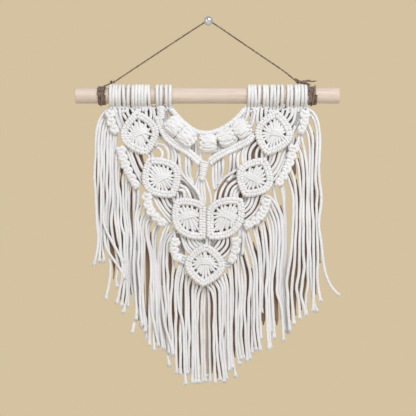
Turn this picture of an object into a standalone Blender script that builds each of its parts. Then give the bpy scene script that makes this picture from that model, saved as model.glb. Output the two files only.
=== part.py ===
"""Macrame wall hanging on a wooden dowel, hung by jute twine from a ball-headed wall pin.

The tables below are in millimetres: x to the right, y into the wall, z up. The origin is
the end of the pin's shaft, where it meets the wall. The wall is the plane y = 0, and the
whole object lies in front of it.
"""

import math

import bmesh
import bpy
from mathutils import Vector
from mathutils.geometry import tessellate_polygon

MM = 0.001
GAP = 0.3  # clearance between pieces that touch

# Dowel and cords
DOWEL_LENGTH = 300.0
DOWEL_RADIUS = 9.0
DOWEL_CENTRE_X = -1.0
DOWEL_AXIS_Y = -13.3
DOWEL_AXIS_Z = -83.1
DOWEL_CHAMFER = 0.5
CORD_DIAMETER = 3.4
CORD_SEGMENTS = 12  # around the dowel
TWINE_DIAMETER = 1.6
TWINE_SEGMENTS = 16  # around the dowel
TWINE_SPACING = 3.6  # between the points of its curve
TURN_SPAN = (0.3, 0.7)  # where a turn is at its highest, as shares of its pitch

# Wall pin: the shaft climbs a little towards its head, so that the twine stays on
PIN_SHAFT_RADIUS = 1.8
PIN_SHAFT_LENGTH = 13.0
PIN_HEAD_RADIUS = 5.3
PIN_HEAD_Y = -17.0
PIN_HEAD_Z = 1.6

# How the cloth hangs: its ground leaves the dowel's underside and leans back to the wall
GROUND_TOP_Z = -96.2
GROUND_TOP_Y = -12.8
GROUND_LEAN = 2.0
GROUND_DROP = 315.0
GROUND_HALF_THICKNESS = 1.7
ORNAMENT_BACK = GROUND_HALF_THICKNESS + GAP  # in front of the ground's middle
FRINGE_HALF_THICKNESS = 3.2
FRINGE_SET_BACK = 1.6  # its front is flush with the ground's front
FRINGE_WAVE = 1.4  # the fringe ripples towards the wall
FRINGE_WAVE_LENGTH = 37.0

# Knotted bands: half width and half depth at a knot, and how much less it is between two
NECK_SIZE = (2.9, 2.8, 0.14)
STEM_SIZE = (3.2, 2.4, 0.06)
STEM_WRAP_SIZE = (5.6, 4.2, 0.05)
CHAIN_SIZE = (4.6, 3.4, 0.22)
NECK_KNOTS = 12
STEM_KNOTS = 8
STEM_WRAP_KNOTS = 3

# Berry knots
BERRY_HALF_DEPTH = 6.0
BERRY_SOFTNESS = 5.0  # the power of the rounded cube: 2 is a ball

# Colours, linear RGB
COTTON = (0.82, 0.80, 0.78)
WOOD = (0.78, 0.65, 0.52)
JUTE = (0.21, 0.14, 0.085)
STEEL = (0.62, 0.66, 0.70)


def ground_y(z):
    """The middle of the hanging cloth, which leans slightly towards the wall."""
    drop = min(max((GROUND_TOP_Z - z) / GROUND_DROP, 0.0), 1.0)
    return GROUND_TOP_Y + GROUND_LEAN * drop


# ---------------------------------------------------------------- general tools


def clear_scene():
    for obj in list(bpy.data.objects):
        bpy.data.objects.remove(obj, do_unlink=True)


def make_material(name, colour, roughness, metallic=0.0):
    material = bpy.data.materials.new(name)
    material.use_nodes = True
    shader = material.node_tree.nodes["Principled BSDF"]
    shader.inputs["Base Color"].default_value = (*colour, 1.0)
    shader.inputs["Roughness"].default_value = roughness
    shader.inputs["Metallic"].default_value = metallic
    return material


def add_solid(name, points, faces, material, sharp_deg=50.0):
    """A closed mesh from points in mm, placed with its origin at its middle."""
    low = Vector([min(p[i] for p in points) for i in range(3)])
    high = Vector([max(p[i] for p in points) for i in range(3)])
    middle = (low + high) / 2
    mesh = bpy.data.meshes.new(name)
    mesh.from_pydata([(Vector(p) - middle) * MM for p in points], [], faces)
    shaper = bmesh.new()
    shaper.from_mesh(mesh)
    bmesh.ops.recalc_face_normals(shaper, faces=shaper.faces)
    shaper.to_mesh(mesh)
    shaper.free()
    mesh.shade_smooth()
    mesh.set_sharp_from_angle(angle=math.radians(sharp_deg))
    mesh.materials.append(material)
    obj = bpy.data.objects.new(name, mesh)
    obj.location = middle * MM
    bpy.context.scene.collection.objects.link(obj)
    return obj


def add_loft(name, rings, material, closed_loop=False, sharp_deg=50.0):
    """A skin over rings with the same number of points, capped unless it closes on itself."""
    count = len(rings[0])
    points = [p for ring in rings for p in ring]
    faces = []
    spans = len(rings) if closed_loop else len(rings) - 1
    for i in range(spans):
        here = i * count
        there = (i + 1) % len(rings) * count
        for j in range(count):
            k = (j + 1) % count
            faces.append((here + j, here + k, there + k, there + j))
    if not closed_loop:
        faces.append(tuple(range(count)))
        faces.append(tuple(range(len(points) - count, len(points))))
    return add_solid(name, points, faces, material, sharp_deg)


def smooth_curve(points, per_span):
    """Points along a Catmull-Rom curve through the given points, of any dimension."""
    ends = [2 * Vector(points[0]) - Vector(points[1])]
    last = [2 * Vector(points[-1]) - Vector(points[-2])]
    knots = ends + [Vector(p) for p in points] + last
    curve = []
    for a, b, c, d in zip(knots, knots[1:], knots[2:], knots[3:]):
        for i in range(per_span):
            t = i / per_span
            bend = (2 * a - 5 * b + 4 * c - d) * t + (3 * b - 3 * c + d - a) * t * t
            curve.append(b + (c - a + bend) * t / 2)
    curve.append(knots[-2])
    return curve


def add_band(name, knots, path, size, material):
    """A knotted band along a path of (x, z): each knot swells between two narrow places."""
    half_width, half_depth, swell = size
    sides = 8
    line = smooth_curve(path, 8)
    steps = 2 * knots
    rings = []
    for i in range(steps + 1):
        place = i / steps * (len(line) - 1)
        low = min(int(place), len(line) - 2)
        centre = line[low].lerp(line[low + 1], place - low)
        along = (line[low + 1] - line[low]).normalized()
        across = Vector((along.y, -along.x))
        girth = 1.0 if i % 2 else 1.0 - swell
        middle_y = ground_y(centre.y) - ORNAMENT_BACK - half_depth
        ring = []
        for j in range(sides):
            angle = math.tau * (j + 0.5) / sides
            shift = across * (half_width * girth * math.cos(angle))
            depth = half_depth * girth * math.sin(angle)
            ring.append((centre.x + shift.x, middle_y + depth, centre.y + shift.y))
        rings.append(ring)
    return add_loft(name, rings, material, sharp_deg=70.0)


def add_turned_on_dowel(name, left, right, turns, diameter, material, segments):
    """A winding around the dowel: a closed ring turned about the dowel's axis."""
    profile = wound_profile(left, right, turns, diameter, segments)
    rings = []
    for i in range(segments):
        angle = math.tau * i / segments
        across = math.cos(angle)
        up = math.sin(angle)
        rings.append(
            [(x, DOWEL_AXIS_Y + r * across, DOWEL_AXIS_Z + r * up) for x, r in profile]
        )
    return add_loft(name, rings, material, closed_loop=True, sharp_deg=80.0)


def add_plate(name, outline, holes, half_thickness, material, set_back=0.0, wave=0.0):
    """A hanging plate cut to an outline of (x, z), with holes cut right through it."""
    loops = [outline, *holes]
    flat = [Vector((x, z, 0.0)) for loop in loops for x, z in loop]
    count = len(flat)
    points = []
    for side in (-1, 1):
        for p in flat:
            ripple = wave * (1 + math.sin(math.tau * p.x / FRINGE_WAVE_LENGTH)) / 2
            middle_y = ground_y(p.y) + set_back + ripple
            points.append((p.x, middle_y + side * half_thickness, p.y))
    triangles = tessellate_polygon([[Vector((x, z, 0.0)) for x, z in loop] for loop in loops])
    faces = []
    for a, b, c in triangles:
        faces.append((a, b, c))
        faces.append((c + count, b + count, a + count))
    start = 0
    for loop in loops:
        size = len(loop)
        for i in range(size):
            here = start + i
            there = start + (i + 1) % size
            faces.append((here, there, there + count, here + count))
        start += size
    return add_solid(name, points, faces, material)


# ---------------------------------------------------------------- dowel, pin and twine


def add_dowel(material):
    half = DOWEL_LENGTH / 2
    profile = [
        (-half, DOWEL_RADIUS - DOWEL_CHAMFER),
        (DOWEL_CHAMFER - half, DOWEL_RADIUS),
        (half - DOWEL_CHAMFER, DOWEL_RADIUS),
        (half, DOWEL_RADIUS - DOWEL_CHAMFER),
    ]
    segments = 32
    rings = []
    for x, r in profile:
        ring = []
        for i in range(segments):
            angle = math.tau * i / segments
            y = DOWEL_AXIS_Y + r * math.cos(angle)
            z = DOWEL_AXIS_Z + r * math.sin(angle)
            ring.append((DOWEL_CENTRE_X + x, y, z))
        rings.append(ring)
    add_loft("dowel", rings, material, sharp_deg=30.0)


def add_pin(material):
    """A shaft cut off flat at the wall, and a ball for its head."""
    shaft_end = -PIN_SHAFT_LENGTH
    profile = [(0.0, PIN_SHAFT_RADIUS), (shaft_end, PIN_SHAFT_RADIUS)]
    neck_deg = 34  # from the ball's back to where the shaft enters it
    step_deg = 20
    for angle_deg in range(neck_deg, 180, step_deg):
        angle = math.radians(angle_deg)
        y = PIN_HEAD_Y + PIN_HEAD_RADIUS * math.cos(angle)
        profile.append((y, PIN_HEAD_RADIUS * math.sin(angle)))
    segments = 20
    rings = []
    for y, r in profile:
        climb = PIN_HEAD_Z * min(y / PIN_HEAD_Y, 1.0)
        ring = []
        for i in range(segments):
            angle = math.tau * i / segments
            ring.append((r * math.cos(angle), y, climb + r * math.sin(angle)))
        rings.append(ring)
    add_loft("wall_pin", rings, material, sharp_deg=40.0)


def wound_profile(left, right, turns, diameter, segments):
    """A closed profile of (x, radius): a flat inside, and a hump for each turn outside."""
    clear = DOWEL_RADIUS + GAP
    inner = clear / math.cos(math.pi / segments)
    outer = clear + diameter
    valley = clear + 0.5 * diameter
    pitch = (right - left) / turns
    profile = [(right, inner), (left, inner), (left, valley)]
    for i in range(turns):
        for share in TURN_SPAN:
            profile.append((left + (i + share) * pitch, outer))
        if i < turns - 1:
            profile.append((left + (i + 1) * pitch, valley))
    profile.append((right, valley))
    return profile


# name, left and right edge of the winding, turns
TWINE_WRAPS = (
    ("twine_wrap_left", -125.6, -114.4, 5),
    ("twine_wrap_right", 113.4, 124.6, 5),
)

# name, centre x, y, z, half length and half height of the knot
TWINE_KNOTS = (
    ("twine_knot_left", -109.0, -13.3, -67.6, 3.4, 2.0),
    ("twine_knot_right", 102.6, -13.3, -67.6, 3.6, 2.0),
)

# The hanger's route from knot to knot over the pin's shaft
HANGER_ROUTE = (
    (-105.1, -13.3, -66.2),
    (-92.0, -12.9, -57.3),
    (-70.0, -12.1, -42.6),
    (-48.0, -11.2, -27.9),
    (-28.0, -10.3, -14.6),
    (-12.0, -9.5, -4.0),
    (-5.4, -9.1, 0.3),
    (-2.6, -9.0, 2.9),
    (0.0, -9.0, 4.2),
    (2.6, -9.0, 3.0),
    (5.4, -9.1, 0.4),
    (12.0, -9.5, -4.1),
    (28.0, -10.3, -15.2),
    (48.0, -11.2, -29.0),
    (68.0, -12.1, -42.7),
    (86.0, -12.9, -55.1),
    (98.6, -13.3, -65.3),
)

# The loose end's route, from the right knot to its cut end
TAIL_ROUTE = (
    (106.6, -13.3, -67.4),
    (110.0, -13.5, -67.0),
    (114.0, -13.9, -66.6),
    (118.0, -14.2, -66.9),
    (122.0, -14.4, -66.5),
)


def add_knot(name, x, y, z, half_length, half_height, material):
    """A small overhand knot: two lumps along the twine."""
    sides = 8
    # place along the length and girth, both as shares of the half sizes
    stations = ((-1.0, 0.35), (-0.75, 0.85), (-0.35, 1.0), (0.0, 0.8))
    mirrored = tuple((-a, g) for a, g in reversed(stations[:-1]))
    rings = []
    for along, girth in stations + mirrored:
        ring = []
        for i in range(sides):
            angle = math.tau * (i + 0.5) / sides
            reach = half_height * girth
            ring.append(
                (x + along * half_length, y + reach * math.cos(angle), z + reach * math.sin(angle))
            )
        rings.append(ring)
    add_loft(name, rings, material, sharp_deg=80.0)


def add_twine(name, route, material):
    """A round twine along a smooth curve through its route, as a curve with filled caps."""
    fine_steps = 24
    fine = smooth_curve(route, fine_steps)
    kept = []
    for i in range(len(route) - 1):
        span = (Vector(route[i + 1]) - Vector(route[i])).length
        cuts = max(1, round(span / TWINE_SPACING))
        for cut in range(cuts):
            kept.append(fine[i * fine_steps + round(cut / cuts * fine_steps)])
    kept.append(fine[-1])
    curve = bpy.data.curves.new(name, "CURVE")
    curve.dimensions = "3D"
    curve.bevel_depth = TWINE_DIAMETER / 2 * MM
    curve.bevel_resolution = 2
    curve.use_fill_caps = True
    spline = curve.splines.new("POLY")
    spline.points.add(len(kept) - 1)
    for slot, point in zip(spline.points, kept):
        slot.co = (*(point * MM), 1.0)
    curve.materials.append(material)
    obj = bpy.data.objects.new(name, curve)
    bpy.context.scene.collection.objects.link(obj)


# ---------------------------------------------------------------- knotted work

# name, left and right edge on the dowel, how many cord turns show
HEADINGS = (
    ("heading_left_1", -112.6, -89.0, 6),
    ("heading_left_2", -87.4, -65.6, 6),
    ("heading_left_3", -59.8, -41.4, 4),
    ("heading_right_1", 44.4, 59.6, 4),
    ("heading_right_2", 61.2, 85.6, 6),
    ("heading_right_3", 88.6, 112.4, 6),
)

# name, centre x, z, tilt in degrees, half size across and down
BERRIES = (
    ("berry_1", -39.8, -118.4, -43, 8.4, 8.0),
    ("berry_2", -25.2, -131.6, -36, 8.6, 8.4),
    ("berry_3", -1.0, -138.0, 0, 9.0, 8.6),
    ("berry_4", 21.0, -131.0, 28, 8.6, 8.2),
    ("berry_5", 38.2, -121.6, 38, 8.2, 8.6),
)

# name, top tip x, z, lower tip x, z, bulge to the right, to the left, bluntness, x limits
LEAVES = (
    ("leaf_left_1", -82.3, -100.4, -70.3, -151.6, 20.5, 24.0, 0.80, None),
    ("leaf_left_2", -69.2, -154.0, -38.4, -199.0, 24.0, 22.5, 0.80, None),
    ("leaf_left_3", -37.0, -201.2, -3.6, -246.2, 24.0, 20.5, 0.70, (-60.0, -3.4)),
    ("leaf_centre", -2.4, -251.0, -2.4, -299.5, 22.5, 23.0, 0.72, None),
    ("leaf_right_3", 38.6, -200.4, -0.6, -245.6, 20.5, 23.5, 0.70, (-1.0, 60.0)),
    ("leaf_right_2", 64.8, -154.0, 40.4, -198.4, 22.5, 21.5, 0.80, None),
    ("leaf_right_1", 78.2, -99.6, 66.2, -151.6, 24.5, 19.5, 0.80, None),
)
LEAF_STATIONS = 12  # along each side
# share of the outline and distance in front of the ground, from the back to the middle
LEAF_SECTION = (
    (0.96, 0.0),
    (1.00, 2.6),
    (0.96, 6.0),
    (0.86, 7.4),
    (0.76, 6.2),
    (0.70, 4.4),
    (0.30, 4.6),
)

# Paths of (x, z)
NECK_PATH = (
    (-41.6, -99.4),
    (-35.0, -107.4),
    (-25.4, -116.6),
    (-12.6, -124.6),
    (-1.2, -126.0),
    (7.8, -124.4),
    (22.6, -117.0),
    (34.6, -106.8),
    (40.6, -99.6),
)
STEM_LEFT_PATH = (
    (-57.0, -107.5),
    (-52.8, -119.9),
    (-45.8, -131.8),
    (-35.4, -140.0),
    (-23.2, -147.2),
    (-12.8, -156.0),
    (-8.6, -160.2),
)
STEM_RIGHT_PATH = (
    (49.8, -127.0),
    (46.4, -133.2),
    (37.6, -138.4),
    (18.0, -148.0),
    (6.5, -154.6),
    (1.4, -158.8),
)
STEM_WRAP_PATH = ((-4.6, -162.6), (-5.8, -170.0), (-7.6, -177.4))

# name, knots, path
CHAINS = (
    ("chain_left_1", 3, ((-110.8, -100.4), (-110.9, -109.0), (-108.3, -117.5), (-104.2, -125.5))),
    (
        "chain_left_2",
        5,
        ((-99.4, -141.5), (-99.4, -152.4), (-97.1, -161.2), (-92.6, -169.9), (-83.6, -183.0)),
    ),
    (
        "chain_left_3",
        5,
        ((-69.0, -198.5), (-68.2, -206.3), (-65.2, -214.3), (-59.5, -221.1), (-49.2, -229.4)),
    ),
    ("chain_left_4", 3, ((-36.6, -246.0), (-39.1, -257.0), (-36.0, -266.6), (-30.6, -268.6))),
    ("chain_right_1", 3, ((109.6, -100.6), (109.6, -109.0), (107.6, -118.0), (104.4, -126.0))),
    (
        "chain_right_2",
        5,
        ((97.6, -139.0), (94.7, -152.8), (90.6, -163.7), (86.7, -174.6), (77.0, -182.8)),
    ),
    (
        "chain_right_3",
        5,
        ((66.6, -201.0), (63.6, -213.0), (57.6, -221.8), (49.8, -227.9), (42.0, -232.4)),
    ),
    ("chain_right_4", 3, ((30.6, -244.6), (31.4, -254.0), (28.0, -266.0), (25.4, -272.4))),
)


def leaf_outline(top, foot, right, left, blunt, limits):
    """The leaf's edge as (x, z), from its top tip down its right side and back up."""
    top = Vector(top)
    foot = Vector(foot)
    along = foot - top
    across = Vector((-along.y, along.x)).normalized()
    outline = []
    for side, bulge in ((1, right), (-1, left)):
        places = range(LEAF_STATIONS) if side > 0 else range(LEAF_STATIONS, 0, -1)
        for i in places:
            turn = i / LEAF_STATIONS
            t = (1 - math.cos(math.pi * turn)) / 2
            width = bulge * max(math.sin(math.pi * t), 0.0) ** blunt
            point = top + along * t + across * (side * width)
            if limits:
                point.x = min(max(point.x, limits[0]), limits[1])
            outline.append(point)
    return outline


def add_leaf(name, top_x, top_z, foot_x, foot_z, right, left, blunt, limits, material):
    """A leaf of one solid: a raised rim round a lower, slightly domed centre."""
    outline = leaf_outline((top_x, top_z), (foot_x, foot_z), right, left, blunt, limits)
    middle = Vector(((top_x + foot_x) / 2, (top_z + foot_z) / 2))
    rings = []
    for share, front in LEAF_SECTION:
        ring = []
        for point in outline:
            x, z = middle + (point - middle) * share
            ring.append((x, ground_y(z) - ORNAMENT_BACK - front, z))
        rings.append(ring)
    add_loft(name, rings, material, sharp_deg=80.0)


def add_berry(name, x, z, tilt_deg, half_across, half_down, material):
    """A rolled-up sinnet of square knots: a plump cube with softened corners."""
    shaper = bmesh.new()
    bmesh.ops.create_cube(shaper, size=2.0)
    bmesh.ops.subdivide_edges(shaper, edges=shaper.edges, cuts=3, use_grid_fill=True)
    shaper.verts.ensure_lookup_table()
    shaper.faces.ensure_lookup_table()
    tilt = math.radians(tilt_deg)
    middle_y = ground_y(z) - ORNAMENT_BACK - BERRY_HALF_DEPTH
    points = []
    for vertex in shaper.verts:
        unit = vertex.co
        norm = sum(abs(c) ** BERRY_SOFTNESS for c in unit) ** (1 / BERRY_SOFTNESS)
        across = unit.x / norm * half_across
        down = unit.z / norm * half_down
        points.append(
            (
                x + across * math.cos(tilt) - down * math.sin(tilt),
                middle_y + unit.y / norm * BERRY_HALF_DEPTH,
                z + across * math.sin(tilt) + down * math.cos(tilt),
            )
        )
    faces = [tuple(v.index for v in face.verts) for face in shaper.faces]
    shaper.free()
    add_solid(name, points, faces, material, sharp_deg=80.0)


# ---------------------------------------------------------------- open ground

# The ground of working cords behind the ornaments, each half inside the outer chains.
NET_LEFT_OUTLINE = (
    (-112.0, -96.2),
    (-42.6, -96.2),
    (-25.0, -116.0),
    (-12.0, -124.0),
    (-1.3, -125.0),
    (-1.3, -147.2),
    (-4.9, -147.4),
    (-4.4, -153.6),
    (-1.3, -158.8),
    (-1.3, -166.0),
    (-3.0, -186.0),
    (-1.3, -208.0),
    (-1.3, -299.0),
    (-14.0, -289.0),
    (-25.0, -277.0),
    (-31.0, -268.6),
    (-38.0, -266.8),
    (-39.1, -258.1),
    (-36.8, -248.0),
    (-42.4, -234.0),
    (-48.2, -230.2),
    (-59.5, -221.1),
    (-65.2, -214.3),
    (-68.7, -206.3),
    (-69.8, -198.0),
    (-71.8, -191.0),
    (-78.0, -189.4),
    (-81.2, -185.8),
    (-86.9, -177.8),
    (-92.6, -169.9),
    (-97.1, -161.2),
    (-99.4, -152.4),
    (-98.6, -144.0),
    (-96.8, -138.0),
    (-97.6, -131.4),
    (-103.9, -125.5),
    (-108.5, -117.5),
    (-111.5, -109.0),
)
NET_LEFT_HOLES = (
    ((-61.0, -146.0), (-58.4, -144.8), (-55.5, -146.2), (-55.4, -150.0), (-58.4, -151.4)),
    (
        (-53.0, -141.2),
        (-49.4, -143.4),
        (-47.0, -148.0),
        (-46.8, -154.0),
        (-51.4, -154.0),
        (-51.6, -149.0),
        (-53.8, -145.0),
    ),
    ((-29.9, -152.0), (-26.6, -153.6), (-26.4, -171.6), (-28.6, -166.0)),
    ((-18.6, -160.4), (-12.0, -162.4), (-13.6, -181.0), (-17.8, -182.4), (-18.6, -176.0)),
)
NET_RIGHT_OUTLINE = (
    (-0.7, -125.0),
    (7.4, -123.4),
    (22.4, -116.2),
    (42.6, -96.2),
    (112.0, -96.2),
    (111.2, -104.5),
    (108.5, -112.9),
    (106.3, -122.0),
    (102.7, -127.1),
    (98.3, -141.4),
    (94.7, -152.8),
    (90.6, -163.7),
    (86.9, -174.4),
    (82.4, -176.0),
    (78.0, -180.0),
    (73.2, -183.0),
    (71.2, -187.0),
    (64.6, -205.2),
    (62.3, -214.3),
    (57.2, -221.8),
    (49.2, -228.3),
    (42.6, -231.9),
    (31.0, -246.0),
    (31.6, -254.0),
    (28.4, -266.0),
    (24.7, -273.5),
    (14.0, -287.0),
    (-0.7, -299.0),
    (-0.7, -209.0),
    (3.6, -205.0),
    (4.0, -186.0),
    (3.8, -167.0),
    (-0.7, -166.0),
    (-0.7, -158.8),
    (1.6, -154.0),
    (1.6, -147.4),
    (-0.7, -147.2),
)
NET_RIGHT_HOLES = (
    ((7.2, -128.4), (12.5, -128.2), (12.5, -138.2), (7.4, -138.4)),
    ((18.6, -153.8), (23.8, -151.8), (23.8, -171.6), (18.4, -171.8)),
    ((52.6, -142.4), (54.4, -143.6), (54.2, -154.0), (49.6, -154.0), (50.4, -147.0)),
)

# ---------------------------------------------------------------- fringe

# Each comb: its top edge from left to right as (x, z); then its teeth from right to left,
# each with the tip's right and left end as (x, z) and the head of the slit on its left;
# then the points up its left side; then its holes.
FRINGE_COMBS = {
    "fringe_left_1": {
        "top": ((-114.6, -98.0), (-112.4, -98.6), (-112.1, -109.2), (-109.1, -117.8), (-105.2, -125.0)),
        "teeth": (
            ((-105.8, -299.6), (-111.0, -293.0), (-111.6, -248.0)),
            ((-112.4, -304.0), (-117.0, -312.0), (-118.6, -232.0)),
            ((-119.2, -271.4), (-123.0, -272.6), (-124.4, -225.0)),
            ((-123.8, -273.0), (-130.6, -275.6), None),
        ),
        "left": ((-130.5, -262.0), (-127.9, -242.7), (-131.5, -184.7), (-127.4, -126.6), (-118.7, -101.4)),
        "holes": (),
    },
    "fringe_left_2": {
        "top": (
            (-104.9, -143.8),
            (-100.2, -144.4),
            (-100.1, -152.6),
            (-97.8, -161.6),
            (-93.3, -170.4),
            (-87.6, -178.4),
            (-81.8, -186.6),
            (-78.4, -190.2),
            (-78.0, -196.0),
            (-72.4, -196.4),
        ),
        "teeth": (
            ((-72.4, -347.0), (-76.6, -348.0), (-78.4, -262.0)),
            ((-77.8, -346.0), (-81.0, -340.0), (-83.4, -240.0)),
            ((-82.2, -338.0), (-88.0, -351.4), (-90.0, -268.0)),
            ((-90.8, -332.0), (-96.4, -328.4), (-95.6, -250.0)),
            ((-97.4, -320.0), (-104.8, -317.6), None),
        ),
        "left": ((-105.2, -240.0),),
        "holes": (),
    },
    "fringe_left_3": {
        "top": (
            (-70.4, -198.6),
            (-69.3, -206.6),
            (-65.8, -214.8),
            (-60.0, -221.8),
            (-48.8, -230.8),
            (-43.0, -234.6),
        ),
        "teeth": (
            ((-43.8, -375.6), (-49.8, -373.6), (-49.0, -280.0)),
            ((-50.8, -374.0), (-55.4, -372.4), (-55.6, -270.0)),
            ((-56.4, -371.0), (-61.4, -371.6), (-61.6, -280.0)),
            ((-62.4, -368.0), (-67.6, -362.0), None),
        ),
        "left": ((-68.0, -300.0), (-71.4, -230.0), (-71.8, -205.0)),
        "holes": (
            ((-58.4, -228.6), (-51.2, -233.4), (-51.6, -244.0), (-56.6, -251.0), (-58.2, -240.0)),
            ((-66.2, -224.0), (-60.8, -226.8), (-60.8, -236.0), (-64.8, -243.4), (-66.2, -234.0)),
        ),
    },
    "fringe_left_4": {
        "top": (
            (-42.2, -235.4),
            (-37.6, -248.2),
            (-39.8, -258.2),
            (-38.6, -267.4),
            (-31.4, -269.4),
            (-25.6, -277.6),
            (-14.6, -289.8),
            (-4.6, -298.0),
            (-4.4, -328.0),
            (-1.3, -330.0),
        ),
        "teeth": (
            ((-1.3, -409.6), (-10.6, -409.8), (-11.0, -330.0)),
            ((-11.6, -410.4), (-18.6, -411.0), (-19.0, -318.0)),
            ((-19.8, -411.8), (-27.0, -412.0), (-26.4, -322.0)),
            ((-27.8, -402.0), (-34.4, -398.4), (-33.6, -300.0)),
            ((-35.2, -390.0), (-41.6, -380.0), None),
        ),
        "left": ((-42.6, -330.0), (-42.8, -260.0)),
        "holes": (),
    },
    "fringe_right_5": {
        "top": (
            (-0.7, -300.0),
            (14.6, -287.8),
            (25.4, -274.0),
            (29.1, -266.4),
            (32.3, -254.2),
            (31.8, -246.2),
            (36.4, -240.6),
        ),
        "teeth": (
            ((36.6, -388.0), (30.0, -394.6), (29.2, -310.0)),
            ((28.4, -396.6), (22.4, -398.0), (21.8, -305.0)),
            ((21.0, -406.8), (13.6, -408.6), (13.0, -320.0)),
            ((12.2, -410.0), (4.4, -411.4), (4.6, -325.0)),
            ((3.6, -411.0), (-0.7, -410.0), None),
        ),
        "left": (),
        "holes": (),
    },
    "fringe_right_4": {
        "top": (
            (37.2, -239.8),
            (43.2, -232.6),
            (49.6, -229.2),
            (57.8, -222.4),
            (63.0, -214.6),
            (65.3, -205.6),
            (68.8, -196.4),
        ),
        "teeth": (
            ((71.4, -370.0), (66.0, -368.0), (64.8, -275.0)),
            ((63.8, -360.0), (57.6, -373.6), (57.0, -290.0)),
            ((56.2, -374.0), (50.0, -374.4), (49.8, -280.0)),
            ((49.0, -383.8), (43.0, -383.0), (43.2, -300.0)),
            ((42.4, -382.6), (37.4, -384.0), None),
        ),
        "left": ((37.2, -300.0),),
        "holes": (
            ((46.4, -237.6), (51.8, -235.6), (52.2, -257.0), (48.6, -258.2), (46.2, -246.0)),
            ((56.4, -233.4), (61.0, -231.8), (61.4, -257.0), (58.4, -258.2), (56.6, -246.0)),
        ),
    },
    "fringe_right_3": {
        "top": (
            (69.4, -195.6),
            (71.8, -188.0),
            (78.8, -186.0),
            (79.0, -208.4),
            (84.8, -211.0),
            (84.6, -188.0),
            (87.3, -183.0),
        ),
        "teeth": (
            ((91.9, -354.0), (85.0, -361.4), (82.8, -280.0)),
            ((81.8, -362.0), (74.6, -359.0), (73.6, -270.0)),
            ((73.6, -366.0), (72.4, -366.4), None),
        ),
        "left": ((70.0, -260.0),),
        "holes": (),
    },
    "fringe_right_2": {
        "top": (
            (88.0, -174.6),
            (91.4, -163.9),
            (95.5, -153.0),
            (99.0, -141.8),
            (103.2, -128.8),
            (105.0, -128.4),
            (108.8, -141.0),
            (110.8, -152.0),
            (112.0, -168.0),
            (110.8, -210.0),
        ),
        "teeth": (
            ((110.0, -334.0), (104.4, -337.0), (103.0, -270.0)),
            ((102.4, -328.0), (97.4, -343.0), (95.8, -262.0)),
            ((96.4, -343.4), (92.8, -346.0), None),
        ),
        "left": ((94.8, -254.0), (94.8, -190.0), (91.0, -179.8)),
        "holes": (),
    },
    "fringe_right_1": {
        "top": (
            (109.4, -112.6),
            (111.9, -104.6),
            (112.6, -98.6),
            (116.9, -100.0),
            (124.4, -110.7),
            (127.2, -126.6),
            (126.7, -179.0),
            (129.1, -198.3),
            (127.4, -227.9),
            (129.4, -247.3),
            (133.4, -268.0),
            (140.2, -291.0),
            (149.6, -309.4),
        ),
        "teeth": (
            ((148.0, -311.6), (146.4, -311.0), (131.0, -275.0)),
            ((129.8, -317.0), (124.6, -320.0), (124.0, -262.0)),
            ((123.4, -328.6), (117.4, -329.0), (117.2, -255.0)),
            ((116.4, -328.0), (111.0, -333.0), None),
        ),
        "left": (
            (111.6, -210.0),
            (112.9, -168.0),
            (112.6, -150.0),
            (112.4, -130.6),
            (107.5, -126.4),
            (107.3, -121.0),
        ),
        "holes": (),
    },
}


def add_comb(name, comb, material):
    """One comb of the fringe: gently rippled, each tooth a lock of strands."""
    outline = list(comb["top"])
    for tip_right, tip_left, slit in comb["teeth"]:
        outline += [tip_right, tip_left]
        if slit:
            outline.append(slit)
    outline += comb["left"]
    holes = comb["holes"]
    add_plate(name, outline, holes, FRINGE_HALF_THICKNESS, material, FRINGE_SET_BACK, FRINGE_WAVE)


# ---------------------------------------------------------------- the whole object


def build():
    clear_scene()
    wood = make_material("pale_wood", WOOD, 0.6)
    steel = make_material("polished_steel", STEEL, 0.2, 1.0)
    jute = make_material("jute", JUTE, 0.9)
    cotton = make_material("cotton_cord", COTTON, 0.9)

    add_dowel(wood)
    add_pin(steel)
    for winding in TWINE_WRAPS:
        add_turned_on_dowel(*winding, TWINE_DIAMETER, jute, TWINE_SEGMENTS)
    for knot in TWINE_KNOTS:
        add_knot(*knot, jute)
    add_twine("twine_hanger", HANGER_ROUTE, jute)
    add_twine("twine_tail", TAIL_ROUTE, jute)

    for winding in HEADINGS:
        add_turned_on_dowel(*winding, CORD_DIAMETER, cotton, CORD_SEGMENTS)
    add_band("neck_band", NECK_KNOTS, NECK_PATH, NECK_SIZE, cotton)
    for berry in BERRIES:
        add_berry(*berry, cotton)
    for leaf in LEAVES:
        add_leaf(*leaf, cotton)
    add_band("stem_left", STEM_KNOTS, STEM_LEFT_PATH, STEM_SIZE, cotton)
    add_band("stem_right", STEM_KNOTS, STEM_RIGHT_PATH, STEM_SIZE, cotton)
    add_band("stem_wrap", STEM_WRAP_KNOTS, STEM_WRAP_PATH, STEM_WRAP_SIZE, cotton)
    for name, knots, path in CHAINS:
        add_band(name, knots, path, CHAIN_SIZE, cotton)

    add_plate("net_left", NET_LEFT_OUTLINE, NET_LEFT_HOLES, GROUND_HALF_THICKNESS, cotton)
    add_plate("net_right", NET_RIGHT_OUTLINE, NET_RIGHT_HOLES, GROUND_HALF_THICKNESS, cotton)
    for name, comb in FRINGE_COMBS.items():
        add_comb(name, comb, cotton)


build()
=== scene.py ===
"""Looks of a macrame wall hanging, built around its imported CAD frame.

The tables are in millimetres, as in the CAD: x to the right, y into the wall, z up, with
the origin at the wall end of the pin's shaft. The cloth hangs at ground_y(z), and what
lies in front of it has a smaller y. "Forward" is how far something lies in front of the
cloth's middle. Lengths turn into metres when a mesh is made; the camera, the lights and
the floor are given in metres.
"""

import math

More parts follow.
